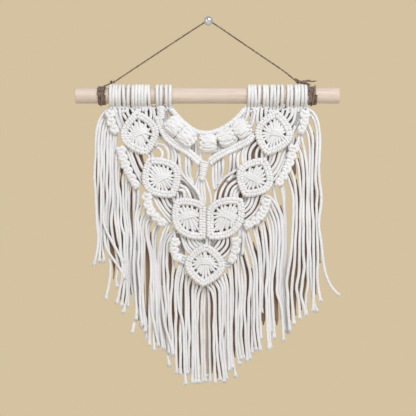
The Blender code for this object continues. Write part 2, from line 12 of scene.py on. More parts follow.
import bpy
import numpy as np
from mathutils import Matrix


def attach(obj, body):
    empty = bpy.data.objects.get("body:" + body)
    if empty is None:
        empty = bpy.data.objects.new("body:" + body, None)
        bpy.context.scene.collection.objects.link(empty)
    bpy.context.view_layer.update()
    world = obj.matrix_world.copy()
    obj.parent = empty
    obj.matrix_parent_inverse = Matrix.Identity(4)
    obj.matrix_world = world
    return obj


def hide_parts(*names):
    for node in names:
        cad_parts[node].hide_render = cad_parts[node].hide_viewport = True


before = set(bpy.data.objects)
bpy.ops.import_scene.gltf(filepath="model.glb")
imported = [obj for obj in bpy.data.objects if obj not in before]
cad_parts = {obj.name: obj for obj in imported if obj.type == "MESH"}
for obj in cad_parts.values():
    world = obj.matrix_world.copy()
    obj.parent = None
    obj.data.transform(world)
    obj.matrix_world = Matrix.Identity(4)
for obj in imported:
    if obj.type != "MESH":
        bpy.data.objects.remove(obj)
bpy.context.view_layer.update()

MM = 0.001
BODY = "root"
SEED = 11
rng = np.random.default_rng(SEED)

# How the cloth hangs, as in the CAD
GROUND_TOP_Z = -96.2
GROUND_TOP_Y = -12.8
GROUND_LEAN = 2.0
GROUND_DROP = 315.0
ORNAMENT_BACK = 2.0  # how far forward the backs of knots and leaves lie

# Dowel and pin, as in the CAD
DOWEL_RADIUS = 9.0
DOWEL_AXIS_Y = -13.3
DOWEL_AXIS_Z = -83.1
PIN_SHAFT_RADIUS = 1.8
PIN_SHAFT_LENGTH = 13.0
PIN_HEAD_RADIUS = 5.3
PIN_HEAD_Y = -17.0
PIN_HEAD_Z = 1.6

CORD_RADIUS = 1.5
TWINE_DIAMETER = 1.6


def ground_y(z):
    """The middle of the hanging cloth, which leans slightly towards the wall."""
    drop = np.clip((GROUND_TOP_Z - np.asarray(z, float)) / GROUND_DROP, 0.0, 1.0)
    return GROUND_TOP_Y + GROUND_LEAN * drop


def put_in_scene(name, data):
    """A new object for a mesh, light or camera."""
    holder = bpy.data.objects.new(name, data)
    bpy.context.scene.collection.objects.link(holder)
    return holder


# ---------------------------------------------------------------- camera and light

CAMERA_PLACE = (-0.0003, -1.46, -0.2109)
CAMERA_LENS = 110.0
CAMERA_SENSOR = 36.0
LIGHT_COLOUR = (0.83, 0.88, 0.98)
LIGHT_TARGET = (0.0, 0.0, -0.2)
# Name, place, diameter in metres, power in watts
LIGHTS = (
    ("key_light", (0.55, -1.3, 0.8), 1.0, 27.0),
    ("fill_light", (-1.3, -1.5, 0.2), 1.2, 5.0),
)
STUDIO_DIM = (0.655, 0.62, 0.57)
STUDIO_GLOW = (0.66, 0.54, 0.354)
# Cosines of the angle to straight back where the glow behind the cloth begins and is full
GLOW_EDGE = 0.80
GLOW_FULL = 0.965


def add_camera():
    camera = bpy.data.cameras.new("camera")
    camera.lens = CAMERA_LENS
    camera.sensor_width = CAMERA_SENSOR
    holder = put_in_scene("camera", camera)
    holder.location = CAMERA_PLACE
    holder.rotation_euler = (math.radians(90), 0, 0)
    bpy.context.scene.camera = holder


def add_area_light(name, place, diameter, power):
    light = bpy.data.lights.new(name, "AREA")
    light.shape = "DISK"
    light.size = diameter
    light.energy = power
    light.color = LIGHT_COLOUR
    holder = put_in_scene(name, light)
    holder.location = place
    aim = np.array(LIGHT_TARGET) - np.array(place)
    level = math.hypot(aim[0], aim[1])
    holder.rotation_euler = (math.atan2(level, -aim[2]), 0, math.atan2(-aim[0], aim[1]))


def add_studio():
    """Dim warm surroundings with a pale glow behind the cloth, so that gaps keep their shade."""
    world = bpy.data.worlds.new("studio")
    world.use_nodes = True
    nodes, links = world.node_tree.nodes, world.node_tree.links
    coordinates = nodes.new("ShaderNodeTexCoord")
    axes = nodes.new("ShaderNodeSeparateXYZ")
    ramp = nodes.new("ShaderNodeValToRGB")
    dim, glow = ramp.color_ramp.elements
    dim.color = (*STUDIO_DIM, 1.0)
    dim.position = GLOW_EDGE
    glow.color = (*STUDIO_GLOW, 1.0)
    glow.position = GLOW_FULL
    links.new(coordinates.outputs["Generated"], axes.inputs["Vector"])
    links.new(axes.outputs["Y"], ramp.inputs["Fac"])
    links.new(ramp.outputs["Color"], nodes["Background"].inputs["Color"])
    bpy.context.scene.world = world
    bpy.context.scene.view_settings.view_transform = "Standard"


# ---------------------------------------------------------------- materials

WHITE = (1.0, 1.0, 1.0)
COTTON_GREY = (0.66, 0.65, 0.635)
COTTON_PALE = (0.73, 0.725, 0.715)
COTTON_FIBRE = (0.80, 0.785, 0.76)
# Painted shade for the fronts of cords deep in the cloth
COTTON_PAINTED_SHADE = (0.43, 0.25, 0.135)  # what the front of a cord deep in the cloth is darkened by
WOOD_DARK = (0.50, 0.397, 0.31)
WOOD_MIDDLE = (0.575, 0.47, 0.383)
WOOD_PALE = (0.63, 0.53, 0.441)
WOOD_LINE = (0.88, 0.86, 0.83)
WOOD_FLECK = (0.70, 0.60, 0.50)
JUTE_DARK = (0.075, 0.042, 0.026)
JUTE_MIDDLE = (0.215, 0.145, 0.098)
JUTE_STRAW = (0.50, 0.395, 0.30)
JUTE_STAIN = (0.34, 0.28, 0.24)
STEEL_GREY = (0.50, 0.54, 0.58)
STEEL_BRIGHT = (0.70, 0.74, 0.78)
STEEL_SMOOTH = (0.10, 0.10, 0.10)  # roughness
STEEL_HAZY = (0.24, 0.24, 0.24)
FLOOR_DARK = (0.74, 0.70, 0.63)
FLOOR_PALE = (0.78, 0.74, 0.67)


class Shading:
    """A material's node tree, with short calls to add and join nodes."""

    def __init__(self, name):
        self.material = bpy.data.materials.new(name)
        self.material.use_nodes = True
        self.tree = self.material.node_tree
        self.shader = self.tree.nodes["Principled BSDF"]

    def add(self, kind, **settings):
        node = self.tree.nodes.new(kind)
        for key, value in settings.items():
            setattr(node, key, value)
        return node

    def join(self, source, target):
        self.tree.links.new(source, target)

    def set(self, socket, value):
        self.shader.inputs[socket].default_value = value

    def stretched(self, source, scale):
        """The source coordinates, scaled along each axis."""
        node = self.add("ShaderNodeMapping")
        node.inputs["Scale"].default_value = scale
        self.join(source, node.inputs["Vector"])
        return node.outputs["Vector"]

    def noise(self, vector, scale=1.0, detail=2.0, roughness=0.5):
        node = self.add("ShaderNodeTexNoise")
        node.inputs["Scale"].default_value = scale
        node.inputs["Detail"].default_value = detail
        node.inputs["Roughness"].default_value = roughness
        self.join(vector, node.inputs["Vector"])
        return node.outputs["Fac"]

    def ramp(self, factor, *stops):
        """Colours by factor; a stop is its place, from 0 to 1, and its colour."""
        node = self.add("ShaderNodeValToRGB")
        elements = node.color_ramp.elements
        while len(elements) < len(stops):
            elements.new(1.0)
        for element, (place, colour) in zip(elements, stops):
            element.position = place
            element.color = (*colour, 1.0)
        self.join(factor, node.inputs["Fac"])
        return node.outputs["Color"]

    def multiply(self, amount, first, second):
        """The first colour, darkened by the second."""
        node = self.add("ShaderNodeMix", data_type="RGBA", blend_type="MULTIPLY")
        node.inputs[0].default_value = amount
        self.join(first, node.inputs[6])
        self.join(second, node.inputs[7])
        return node.outputs[2]

    def bump(self, height, distance, strength, below=None):
        node = self.add("ShaderNodeBump")
        node.inputs["Distance"].default_value = distance
        node.inputs["Strength"].default_value = strength
        self.join(height, node.inputs["Height"])
        if below is not None:
            self.join(below, node.inputs["Normal"])
        return node.outputs["Normal"]

    def lay(self):
        """Coordinates that follow each cord: round it, turning with its twist, and along it."""
        return self.add("ShaderNodeAttribute", attribute_name="lay").outputs["Vector"]

    def painted_shade(self):
        """How much painted shade darkens a point's colour, from 0 to 1."""
        return self.add("ShaderNodeAttribute", attribute_name="painted_shade").outputs["Fac"]

    def place(self):
        return self.add("ShaderNodeTexCoord").outputs["Object"]

    def finish(self, colour, normal, roughness):
        """The material. roughness is a number or the output of a node."""
        self.join(colour, self.shader.inputs["Base Color"])
        self.join(normal, self.shader.inputs["Normal"])
        if isinstance(roughness, float):
            self.set("Roughness", roughness)
        else:
            self.join(roughness, self.shader.inputs["Roughness"])
        return self.material


def cotton_material():
    """Unbleached soft cotton: matt, fine fibre streaks along a gentle twist, faint blotches.

    The fronts of cords that lie deep in the cloth get a brown painted shade."""
    shade = Shading("cotton_cord")
    lay = shade.lay()
    streaks = shade.noise(shade.stretched(lay, (3.2, 3.2, 0.35)), detail=4.0, roughness=0.6)
    fluff = shade.noise(shade.place(), scale=900.0, detail=3.0, roughness=0.6)
    blotch = shade.noise(shade.place(), scale=45.0)
    base = shade.ramp(blotch, (0.3, COTTON_GREY), (0.7, COTTON_PALE))
    fibre = shade.ramp(streaks, (0.28, COTTON_FIBRE), (0.6, WHITE))
    colour = shade.multiply(0.7, base, fibre)
    # Painted shade: the fronts of cords deep in the cloth are darkened towards brown
    painted_darkening = shade.ramp(shade.painted_shade(), (0.0, WHITE), (1.0, COTTON_PAINTED_SHADE))
    colour = shade.multiply(1.0, colour, painted_darkening)
    normal = shade.bump(streaks, distance=0.0005, strength=0.7)
    normal = shade.bump(fluff, distance=0.0003, strength=0.5, below=normal)
    shade.set("Sheen Weight", 0.08)
    shade.set("Sheen Roughness", 0.6)
    shade.set("Specular IOR Level", 0.2)
    return shade.finish(colour, normal, roughness=0.92)


def wood_material():
    """Pale sanded beech: fine lengthwise grain, short darker flecks, satin."""
    shade = Shading("pale_wood")
    place = shade.place()
    grain = shade.noise(shade.stretched(place, (6.0, 130.0, 130.0)), detail=5.0, roughness=0.62)
    fine = shade.noise(shade.stretched(place, (40.0, 900.0, 900.0)), detail=3.0, roughness=0.6)
    flecks = shade.noise(shade.stretched(place, (55.0, 420.0, 420.0)))
    base = shade.ramp(grain, (0.30, WOOD_DARK), (0.50, WOOD_MIDDLE), (0.72, WOOD_PALE))
    lines = shade.ramp(fine, (0.3, WOOD_LINE), (0.6, WHITE))
    spots = shade.ramp(flecks, (0.24, WOOD_FLECK), (0.36, WHITE))
    colour = shade.multiply(0.8, base, lines)
    colour = shade.multiply(0.6, colour, spots)
    normal = shade.bump(fine, distance=0.0002, strength=0.35)
    return shade.finish(colour, normal, roughness=0.5)


def jute_material():
    """Brown jute: coarse fibres along the twist, straw and umber mixed, dry."""
    shade = Shading("jute_twine")
    lay = shade.lay()
    fibres = shade.noise(shade.stretched(lay, (2.6, 2.6, 0.5)), detail=4.0, roughness=0.7)
    blotch = shade.noise(shade.place(), scale=320.0, detail=3.0)
    base = shade.ramp(fibres, (0.28, JUTE_DARK), (0.50, JUTE_MIDDLE), (0.72, JUTE_STRAW))
    tone = shade.ramp(blotch, (0.38, JUTE_STAIN), (0.62, WHITE))
    colour = shade.multiply(0.9, base, tone)
    normal = shade.bump(fibres, distance=0.0004, strength=0.8)
    shade.set("Sheen Weight", 0.2)
    return shade.finish(colour, normal, roughness=0.85)


def steel_material():
    """Polished steel, with a few hairline scratches and a soft haze."""
    shade = Shading("polished_steel")
    shade.set("Metallic", 1.0)
    place = shade.place()
    haze = shade.noise(place, scale=260.0, detail=4.0, roughness=0.6)
    scratches = shade.noise(shade.stretched(place, (300.0, 2500.0, 700.0)))
    colour = shade.ramp(haze, (0.3, STEEL_GREY), (0.7, STEEL_BRIGHT))
    rough = shade.ramp(haze, (0.3, STEEL_SMOOTH), (0.75, STEEL_HAZY))
    normal = shade.bump(scratches, distance=0.00002, strength=0.25)
    return shade.finish(colour, normal, rough)


def floor_material():
    """Pale matt paint, faintly mottled."""
    shade = Shading("floor")
    tone = shade.noise(shade.place(), scale=3.0)
    colour = shade.ramp(tone, (0.3, FLOOR_DARK), (0.7, FLOOR_PALE))
    normal = shade.bump(tone, distance=0.001, strength=0.1)
    return shade.finish(colour, normal, roughness=0.9)


# ---------------------------------------------------------------- lines

CURVE_CUTS = 10  # points in each span of a smooth line before it is cut into equal steps


def unit(vectors):
    return vectors / np.linalg.norm(vectors, axis=-1, keepdims=True)


def distances(line):
    """How far along the line each of its points lies."""
    return np.concatenate([[0.0], np.cumsum(np.linalg.norm(np.diff(line, axis=0), axis=1))])


def sampled(line, run, places):
    """The line's values where run reaches the places."""
    return np.column_stack([np.interp(places, run, axis) for axis in line.T])


def even_steps(line, step):
    """The same line with its points an equal step apart."""
    run = distances(line)
    count = max(2, round(run[-1] / step)) + 1
    return sampled(line, run, np.linspace(0.0, run[-1], count))


def smooth_line(points, step):
    """A smooth line through the points, without overshoot, cut into equal steps."""
    points = np.asarray(points, float)
    spans = np.linalg.norm(np.diff(points, axis=0), axis=1)[:, None]
    slopes = np.diff(points, axis=0) / spans
    inner = (slopes[:-1] * spans[1:] + slopes[1:] * spans[:-1]) / (spans[:-1] + spans[1:])
    leans = np.vstack([slopes[:1], inner, slopes[-1:]])
    t = (np.arange(CURVE_CUTS) / CURVE_CUTS)[:, None]
    parts = []
    for i, span in enumerate(spans):
        start, end = points[i], points[i + 1]
        a = (2 * t**3 - 3 * t**2 + 1) * start + (t**3 - 2 * t**2 + t) * span * leans[i]
        b = (3 * t**2 - 2 * t**3) * end + (t**3 - t**2) * span * leans[i + 1]
        parts.append(a + b)
    parts.append(points[-1:])
    return even_steps(np.vstack(parts), step)


def on_cloth(flat, forward=0.0):
    """A flat line of (x, z) laid on the hanging cloth, forward mm in front of its middle."""
    flat = np.asarray(flat, float)
    return np.column_stack([flat[:, 0], ground_y(flat[:, 1]) - forward, flat[:, 1]])


def across_of(line):
    """The direction across a line that lies on the cloth, to its right when it runs down."""
    ahead = unit(np.gradient(line, axis=0))
    return unit(np.cross(ahead, (0.0, 1.0, 0.0)))


def beside(flat, distance):
    """A flat line moved sideways by a distance."""
    ahead = unit(np.gradient(flat, axis=0))
    return flat + np.column_stack([-ahead[:, 1], ahead[:, 0]]) * distance


def uneven(size, amount, every):
    """Slow random changes round 1 along a cord, with a new one every so many points."""
    turns = max(2, size // every + 2)
    values = rng.normal(0.0, amount, turns)
    return 1.0 + np.interp(np.linspace(0, turns - 1, size), np.arange(turns), values)


# ---------------------------------------------------------------- tubes

TUBE_SIDES = 8
FIRST_NORMAL = (0.31, -0.2, 0.93)  # skewed, so that hardly any cord runs along it
TIP_BULGE = 0.3  # of the radius
FIBRE_TURN = 0.35  # radians of twist for each millimetre
LAY_SHIFT = 37.0  # keeps the streaks of neighbouring tubes apart
LAY_CYCLE = 89


def carried_normals(ahead):
    """A direction square to each of the line's directions, which turns as little as it can."""
    normal = np.cross(ahead[0], FIRST_NORMAL)
    normals = np.empty_like(ahead)
    for i, direction in enumerate(ahead):
        normal = normal - direction * np.dot(normal, direction)
        normal = normal / np.linalg.norm(normal)
        normals[i] = normal
    return normals


def add_piece(name, mesh, material, nodes=()):
    """A mesh as one piece that rides on the body and stands for its CAD nodes."""
    mesh.shade_smooth()
    mesh.materials.append(material)
    piece = put_in_scene(name, mesh)
    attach(piece, BODY)
    if nodes:
        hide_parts(*nodes)
    return piece


class Yarn:
    """Gathers tubes, which become one mesh."""

    def __init__(self):
        self.points = []
        self.lays = []
        self.painted_shades = []
        self.faces = []
        self.count = 0

    def add_tube(self, line, radius, sides=TUBE_SIDES, twist=FIBRE_TURN, painted_shade=0.0):
        """A closed tube along a line. radius is a number or one for each point.

        The last argument is how much painted shade darkens the tube's front, from 0 to 1, for a tube deep
        in the cloth."""
        line = np.asarray(line, float)
        radii = np.broadcast_to(np.asarray(radius, float), (len(line),))
        ahead = unit(np.gradient(line, axis=0))
        normals = carried_normals(ahead)
        sideways = np.cross(ahead, normals)
        angles = math.tau * np.arange(sides) / sides
        cosines, sines = np.cos(angles)[:, None], np.sin(angles)[:, None]
        outward = normals[:, None] * cosines + sideways[:, None] * sines
        rings = line[:, None] + outward * radii[:, None, None]
        first_tip = line[0] - ahead[0] * radii[0] * TIP_BULGE
        last_tip = line[-1] + ahead[-1] * radii[-1] * TIP_BULGE
        self.points += [rings.reshape(-1, 3), np.array([first_tip, last_tip])]
        self.add_lays(distances(line), angles, twist)
        # Painted shade falls on the side that faces forward, and half of it on the tips
        facing = np.clip(-outward[..., 1], 0.0, 1.0).ravel()
        self.painted_shades += [painted_shade * facing**0.5, [0.5 * painted_shade] * 2]
        self.add_faces(len(line), sides)

    def add_lays(self, run, angles, twist):
        """Coordinates of the fibres for each point of the tube."""
        turn = angles[None, :] + twist * run[:, None]
        along = np.broadcast_to(run[:, None] + LAY_SHIFT * (self.count % LAY_CYCLE), turn.shape)
        lays = np.stack([np.cos(turn), np.sin(turn), along], axis=-1)
        self.lays += [lays.reshape(-1, 3), np.array([[0, 0, run[0]], [0, 0, run[-1]]])]

    def add_faces(self, size, sides):
        """Quads between the rings and a fan of triangles at each tip."""
        rows = self.count + np.arange(size - 1)[:, None] * sides
        here = rows + np.arange(sides)[None, :]
        following = rows + (np.arange(sides) + 1) % sides
        quads = np.stack([here, following, following + sides, here + sides], axis=-1)
        self.faces += quads.reshape(-1, 4).tolist()
        last = self.count + (size - 1) * sides
        tip = last + sides
        for j in range(sides):
            k = (j + 1) % sides
            self.faces.append([self.count + k, self.count + j, tip])
            self.faces.append([last + j, last + k, tip + 1])
        self.count += size * sides + 2

    def make(self, name, material, nodes=()):
        """The gathered tubes as one piece."""
        mesh = bpy.data.meshes.new(name)
        points = np.vstack(self.points) * MM
        mesh.from_pydata(points.tolist(), [], self.faces)
        lay = mesh.attributes.new("lay", "FLOAT_VECTOR", "POINT")
        lay.data.foreach_set("vector", np.vstack(self.lays).astype(np.float32).ravel())
        # How much painted shade darkens each point, read by the cotton material
        painted_shade = mesh.attributes.new("painted_shade", "FLOAT", "POINT")
        painted_shade.data.foreach_set("value", np.concatenate(self.painted_shades).astype(np.float32))
        return add_piece(name, mesh, material, nodes)

    def make_cotton(self, node, material):
        """The gathered tubes as the piece of cotton cord that stands for a CAD node."""
        self.make("cotton_" + node, material, [node])


# ---------------------------------------------------------------- knots

HITCH_PAIRING = 0.1  # of a turn, by which the turns of a hitch come in pairs
POINTS_PER_TURN = 12
HITCH_UNEVEN = 0.03
CORE_SPREAD = 0.75  # of the half width
CORE_THINNER = 0.2
CORE_ROOM = 1.2  # for the winding, in radii of its cord
THINNEST_CORE = 0.6


def coil(line, pitch, half_width, half_depth, start):
    """A cord's path wound round a line on the cloth. Its turns come in pairs, as in a hitch.

    half_width is a number, or one for each point of the line."""
    fine = even_steps(line, pitch / POINTS_PER_TURN)
    half_width = np.atleast_1d(half_width)
    if len(half_width) > 1:
        shares = np.linspace(0, 1, len(fine))
        half_width = np.interp(shares, np.linspace(0, 1, len(line)), half_width)
    turns = distances(fine) / pitch
    turns = turns + HITCH_PAIRING * np.sin(math.pi * turns) + start
    phase = math.tau * turns[:, None]
    sideways = across_of(fine) * half_width[:, None] * np.cos(phase)
    towards_viewer = np.array([0.0, -1.0, 0.0]) * half_depth * np.sin(phase)
    lean = unit(np.gradient(fine, axis=0)) * np.cos(phase)
    return fine + sideways + towards_viewer + lean


def add_hitch_row(yarn, line, half_width, half_depth, radius, pitch, start=0.0):
    """A row of half hitches: a cord wound closely along a hidden core of three."""
    path = coil(line, pitch, half_width - radius, half_depth - radius, start)
    yarn.add_tube(path, radius * uneven(len(path), HITCH_UNEVEN, every=10))
    reach = across_of(line) * np.reshape(half_width - radius, (-1, 1)) * CORE_SPREAD
    core_radius = max(half_depth - CORE_ROOM * radius, THINNEST_CORE)
    for side in (-1, 0, 1):
        yarn.add_tube(line + reach * side, core_radius * (1.0 - CORE_THINNER * abs(side)), sides=6)


# A full square knot: places as (across, forward, share of the knot's height)
KNOT_BAR_CORD = (
    (-0.90, 0.10, 0.00),
    (-0.62, 0.85, 0.10),
    (0.00, 1.00, 0.20),
    (0.62, 0.80, 0.29),
    (0.98, 0.10, 0.37),
    (0.95, -0.45, 0.46),
    (0.95, 0.20, 0.55),
    (0.62, 0.85, 0.66),
    (0.00, 1.00, 0.75),
    (-0.62, 0.85, 0.84),
    (-0.90, 0.10, 1.00),
)
KNOT_SIDE_CORD = (
    (0.90, 0.00, 0.00),
    (1.02, 0.62, 0.16),
    (0.90, 0.60, 0.34),
    (0.45, -0.90, 0.42),
    (-0.45, -0.90, 0.36),
    (-1.00, 0.10, 0.24),
    (-1.06, 0.68, 0.40),
    (-1.00, 0.62, 0.62),
    (-0.50, -0.90, 0.76),
    (0.45, -0.90, 0.84),
    (0.98, 0.15, 0.80),
    (0.95, 0.30, 0.93),
    (0.90, 0.00, 1.00),
)
CORE_PLACES = (-0.32, 0.32)
SINNET_STEP = 0.4
KNOT_CORD_STEP = 0.8
SHAKE_ALONG = 0.4  # how uneven a knot is along the chain, as a share of that across it


def add_sinnet(
    yarn, line, knots, half_width, half_depth, radius, pinch, wobble, taper=0.0, mirrored=False
):
    """A chain of square knots along a line, each of two working cords round two core cords.

    pinch is how much narrower the chain gets between two knots, wobble how uneven it is, and
    taper how much wider it is at its top and narrower at its foot."""
    fine = even_steps(line, SINNET_STEP)
    across = across_of(fine)
    run = np.linspace(0.0, 1.0, len(fine))
    sideways = np.cross(np.gradient(fine, axis=0), across)
    forward = unit(np.where((sideways[:, 1] > 0)[:, None], -sideways, sideways))
    reach = (half_width - radius) * (-1.0 if mirrored else 1.0)
    lift = half_depth - radius

    def at(shares, u, w):
        """Points at shares of the chain's length, u across and w forward."""
        places = np.clip(shares, 0.0, 1.0)
        swell = 1.0 - pinch * np.cos(math.pi * knots * places) ** 2 + taper * (1.0 - 2.0 * places)
        right = sampled(across, run, places) * (u * reach * swell)[:, None]
        return sampled(fine, run, places) + right + sampled(forward, run, places) * (w * lift)[:, None]

    for table in (KNOT_BAR_CORD, KNOT_SIDE_CORD):
        rows = np.array(table)
        path = []
        for knot in range(knots):
            part = rows if knot == 0 else rows[1:]
            shake = rng.normal(0.0, wobble, part.shape)
            shares = (knot + part[:, 2] + shake[:, 2] * SHAKE_ALONG) / knots
            path.append(at(shares, part[:, 0] + shake[:, 0], part[:, 1] + shake[:, 1]))
        yarn.add_tube(smooth_line(np.vstack(path), KNOT_CORD_STEP), radius)
    for place in CORE_PLACES:
        shares = run[::4]
        yarn.add_tube(at(shares, np.full(len(shares), place), np.zeros(len(shares))), radius, sides=6)


# ---------------------------------------------------------------- single cords of the cloth

SOFT_SPACING = 1.65  # how far apart two soft cords that press on each other lie, in radii
BED_MARGIN = 4.0
BED_STEP = 1.3
BED_WINDOW = 7  # points over which a cord bends round what it crosses
WAVE = 0.4
LIFT_FOOT_Z = -215.0
LIFT_HEIGHT = 50.0
STRAND_UNEVEN = 0.035
CUT_END = (1.0, 1.0, 0.7)  # how thick a cord's last points are
TUFTS_PER_END = 9
TUFT_SPREAD = (1.0, 2.4)
TUFT_ROOT = (4.0, 5.5)  # before the cord's end
TUFT_TIP = (0.2, 2.2)  # past the cord's end
TUFT_RADII = (0.75, 0.85, 0.35)
TUFT_JITTER = 0.3
TUFT_WIDE = 1.15
TUFT_DEEP = 0.85
TUFT_START = 0.9  # from the cord's middle
TUFT_NECK = 1.6  # before the cord's end, where the tufts begin to spread
STRAND_STEP = 3.0


class Bed:
    """Where strands already lie, so that each new one is laid behind those it crosses."""

    def __init__(self, deepest):
        self.points = np.empty((0, 3))
        self.deepest = deepest

    def settle(self, line, radius):
        reach = (SOFT_SPACING * radius) ** 2
        low, high = line[:, 0].min() - BED_MARGIN, line[:, 0].max() + BED_MARGIN
        near = self.points[(self.points[:, 0] > low) & (self.points[:, 0] < high)]
        if len(near):
            gap = (line[:, None, 0] - near[None, :, 0]) ** 2
            gap = gap + (line[:, None, 2] - near[None, :, 2]) ** 2
            behind = near[None, :, 1] + np.sqrt(np.maximum(reach - gap, 0.0))
            behind = np.where(gap < reach, behind, -np.inf).max(axis=1)
            back = np.clip(behind - line[:, 1], 0.0, None)
            back = np.minimum(back, self.deepest + ground_y(line[:, 2]) - line[:, 1])
            back = np.maximum(back, 0.0)
            back = self.over_window(back).max(axis=1)
            back = self.over_window(back).mean(axis=1)
            line = line + np.column_stack([0 * back, back, 0 * back])
        self.points = np.vstack([self.points, even_steps(line, BED_STEP)])
        return line

    @staticmethod
    def over_window(values):
        """The values round each point."""
        padded = np.pad(values, BED_WINDOW // 2, mode="edge")
        return np.lib.stride_tricks.sliding_window_view(padded, BED_WINDOW)


def add_tufts(yarn, tip, ahead):
    """The brushed-out end of a cut cord: tufts of fibre that spread and end unevenly."""
    right = unit(np.cross(ahead, (0.0, 1.0, 0.0)))
    front = np.cross(right, ahead)
    for i in range(TUFTS_PER_END):
        angle = math.tau * (i + rng.uniform(-TUFT_JITTER, TUFT_JITTER)) / TUFTS_PER_END
        out = right * math.cos(angle) * TUFT_WIDE + front * math.sin(angle) * TUFT_DEEP
        spread = rng.uniform(*TUFT_SPREAD)
        start = tip - ahead * rng.uniform(*TUFT_ROOT) + out * TUFT_START
        middle = tip - ahead * TUFT_NECK + out * (0.7 + 0.4 * spread)
        end = tip + ahead * rng.uniform(*TUFT_TIP) + out * spread
        end = end + right * rng.normal(0.0, TUFT_JITTER)
        yarn.add_tube(np.array([start, middle, end]), TUFT_RADII, sides=5)


def add_strand(
    yarn, bed, points, radius, forward, step=STRAND_STEP, frayed=True, painted_shade=0.0, lift=0.0
):
    """One hanging cord, laid behind what is there already.

    A frayed one waves a little and ends in tufts. lift brings its upper part further forward, and its
    front can be darkened with painted shade."""
    flat = smooth_line(points, step)
    size = len(flat)
    if frayed:
        wave = WAVE * (uneven(size, 1.0, every=5) - 1.0)
        flat[:, 0] += wave * np.sin(np.linspace(0.0, math.pi, size))
    high = np.clip((flat[:, 1] - LIFT_FOOT_Z) / LIFT_HEIGHT, 0.0, 1.0)
    line = bed.settle(on_cloth(flat, forward + lift * high), radius)
    radii = radius * uneven(size, STRAND_UNEVEN, every=6)
    if frayed:
        radii[-3:] = radii[-3:] * CUT_END
    yarn.add_tube(line, radii, painted_shade=painted_shade)
    if frayed:
        add_tufts(yarn, line[-1], unit(line[-1] - line[-2]))


# ---------------------------------------------------------------- back layer

# The back layer: cords at the back of the cloth behind narrow gaps, their fronts darkened with painted
# shade so that the gaps read as shade
BEHIND_RADIUS = 2.3
BEHIND_TAPER = 8.0  # how fast a cord of the back layer thins out towards its ends
BEHIND_THINNEST = 0.3
NARROWEST_GAP = 2.2
WIDEST_BACKED_GAP = 6.6  # neighbours closer than this have a strand behind the gap between
WIDEST_PARTED = 7.2  # the strand behind ends where they part by more
# The same for two whole cords of the ground, which are compared at a number of places
NARROWEST_ARC_GAP = 0.8
WIDEST_ARC_GAP = 8.0
ARC_PLACES = 10
LEVELS_Z = (-100.0, -412.0, -6.0)  # first, end and step of the heights compared
LEAST_LEVELS = 6

# Gaps in the fringe that stay open, as left, right, top and foot
OPEN_GAPS = (
    (79.3, 84.2, -189.0, -208.0),
    (89.6, 94.4, -191.0, -250.0),
    (47.1, 51.6, -238.3, -249.5),
    (-65.9, -61.1, -227.2, -234.5),
    (-57.8, -51.9, -234.3, -240.0),
)


def below_gaps(line):
    """The part of a hanging line below the open gaps that it would cross."""
    foot = 0.0
    for left, right, top, low in OPEN_GAPS:
        inside = (line[:, 0] > left) & (line[:, 0] < right) & (line[:, 1] < top) & (line[:, 1] > low)
        if inside.any():
            foot = min(foot, low)
    return line[line[:, 1] < foot]


def between_by_length(strands):
    """Back-layer cords: one along the middle of each narrow gap between two like cords."""
    even = []
    for strand in strands:
        line = smooth_line(strand, 1.0)
        even.append(sampled(line, range(len(line)), np.linspace(0, len(line) - 1, ARC_PLACES)))
    found = []
    for i, first in enumerate(even):
        for second in even[i + 1:]:
            gaps = np.linalg.norm(first - second, axis=1)
            if NARROWEST_ARC_GAP < gaps.min() and gaps.max() < WIDEST_ARC_GAP:
                found.append((first + second) / 2)
    return found


def between_by_height(strands):
    """Back-layer cords: one behind each narrow gap between two hanging strands."""
    heights = np.arange(*LEVELS_Z)
    places = []
    for strand in strands:
        line = smooth_line(strand, 1.0)
        places.append(np.interp(-heights, -line[:, 1], line[:, 0], left=np.nan, right=np.nan))
    found = []
    for first in places:
        for second in places:
            gap = second - first
            near = (gap > NARROWEST_GAP) & (gap < WIDEST_BACKED_GAP)
            both = ~np.isnan(gap) & (np.abs(gap) < WIDEST_PARTED)
            split = [np.sum(near & (first < other) & (other < second)) for other in places]
            enough = near.sum() >= LEAST_LEVELS and near.sum() >= both.sum() / 3
            if enough and max(split) <= near.sum() / 3:
                middle = (first + second) / 2
                found.append(below_gaps(np.column_stack([middle[both], heights[both]])))
    return found


def add_behind(yarn, points, forward):
    """A cord of the back layer, whose front is fully darkened by painted shade so that the gap in front
    of it reads dark. It thins out at its ends.
    """
    line = on_cloth(smooth_line(points, STRAND_STEP), forward)
    run = np.linspace(0.0, 1.0, len(line))
    thickness = np.clip(BEHIND_TAPER * np.minimum(run, 1.0 - run), BEHIND_THINNEST, 1.0)
    yarn.add_tube(line, BEHIND_RADIUS * thickness, painted_shade=1.0)


# ---------------------------------------------------------------- fringe

FRINGE_RADIUS = 1.72
FRINGE_THICKNESS = (0.94, 1.06)
FRINGE_FORWARD = 0.2
FRINGE_SPREAD = (-0.9, 0.9)  # how much further forward single strands lie
FRINGE_LIFT = 2.6
FRINGE_DEEPEST = 5.4
FRINGE_BEHIND_FORWARD = -6.8

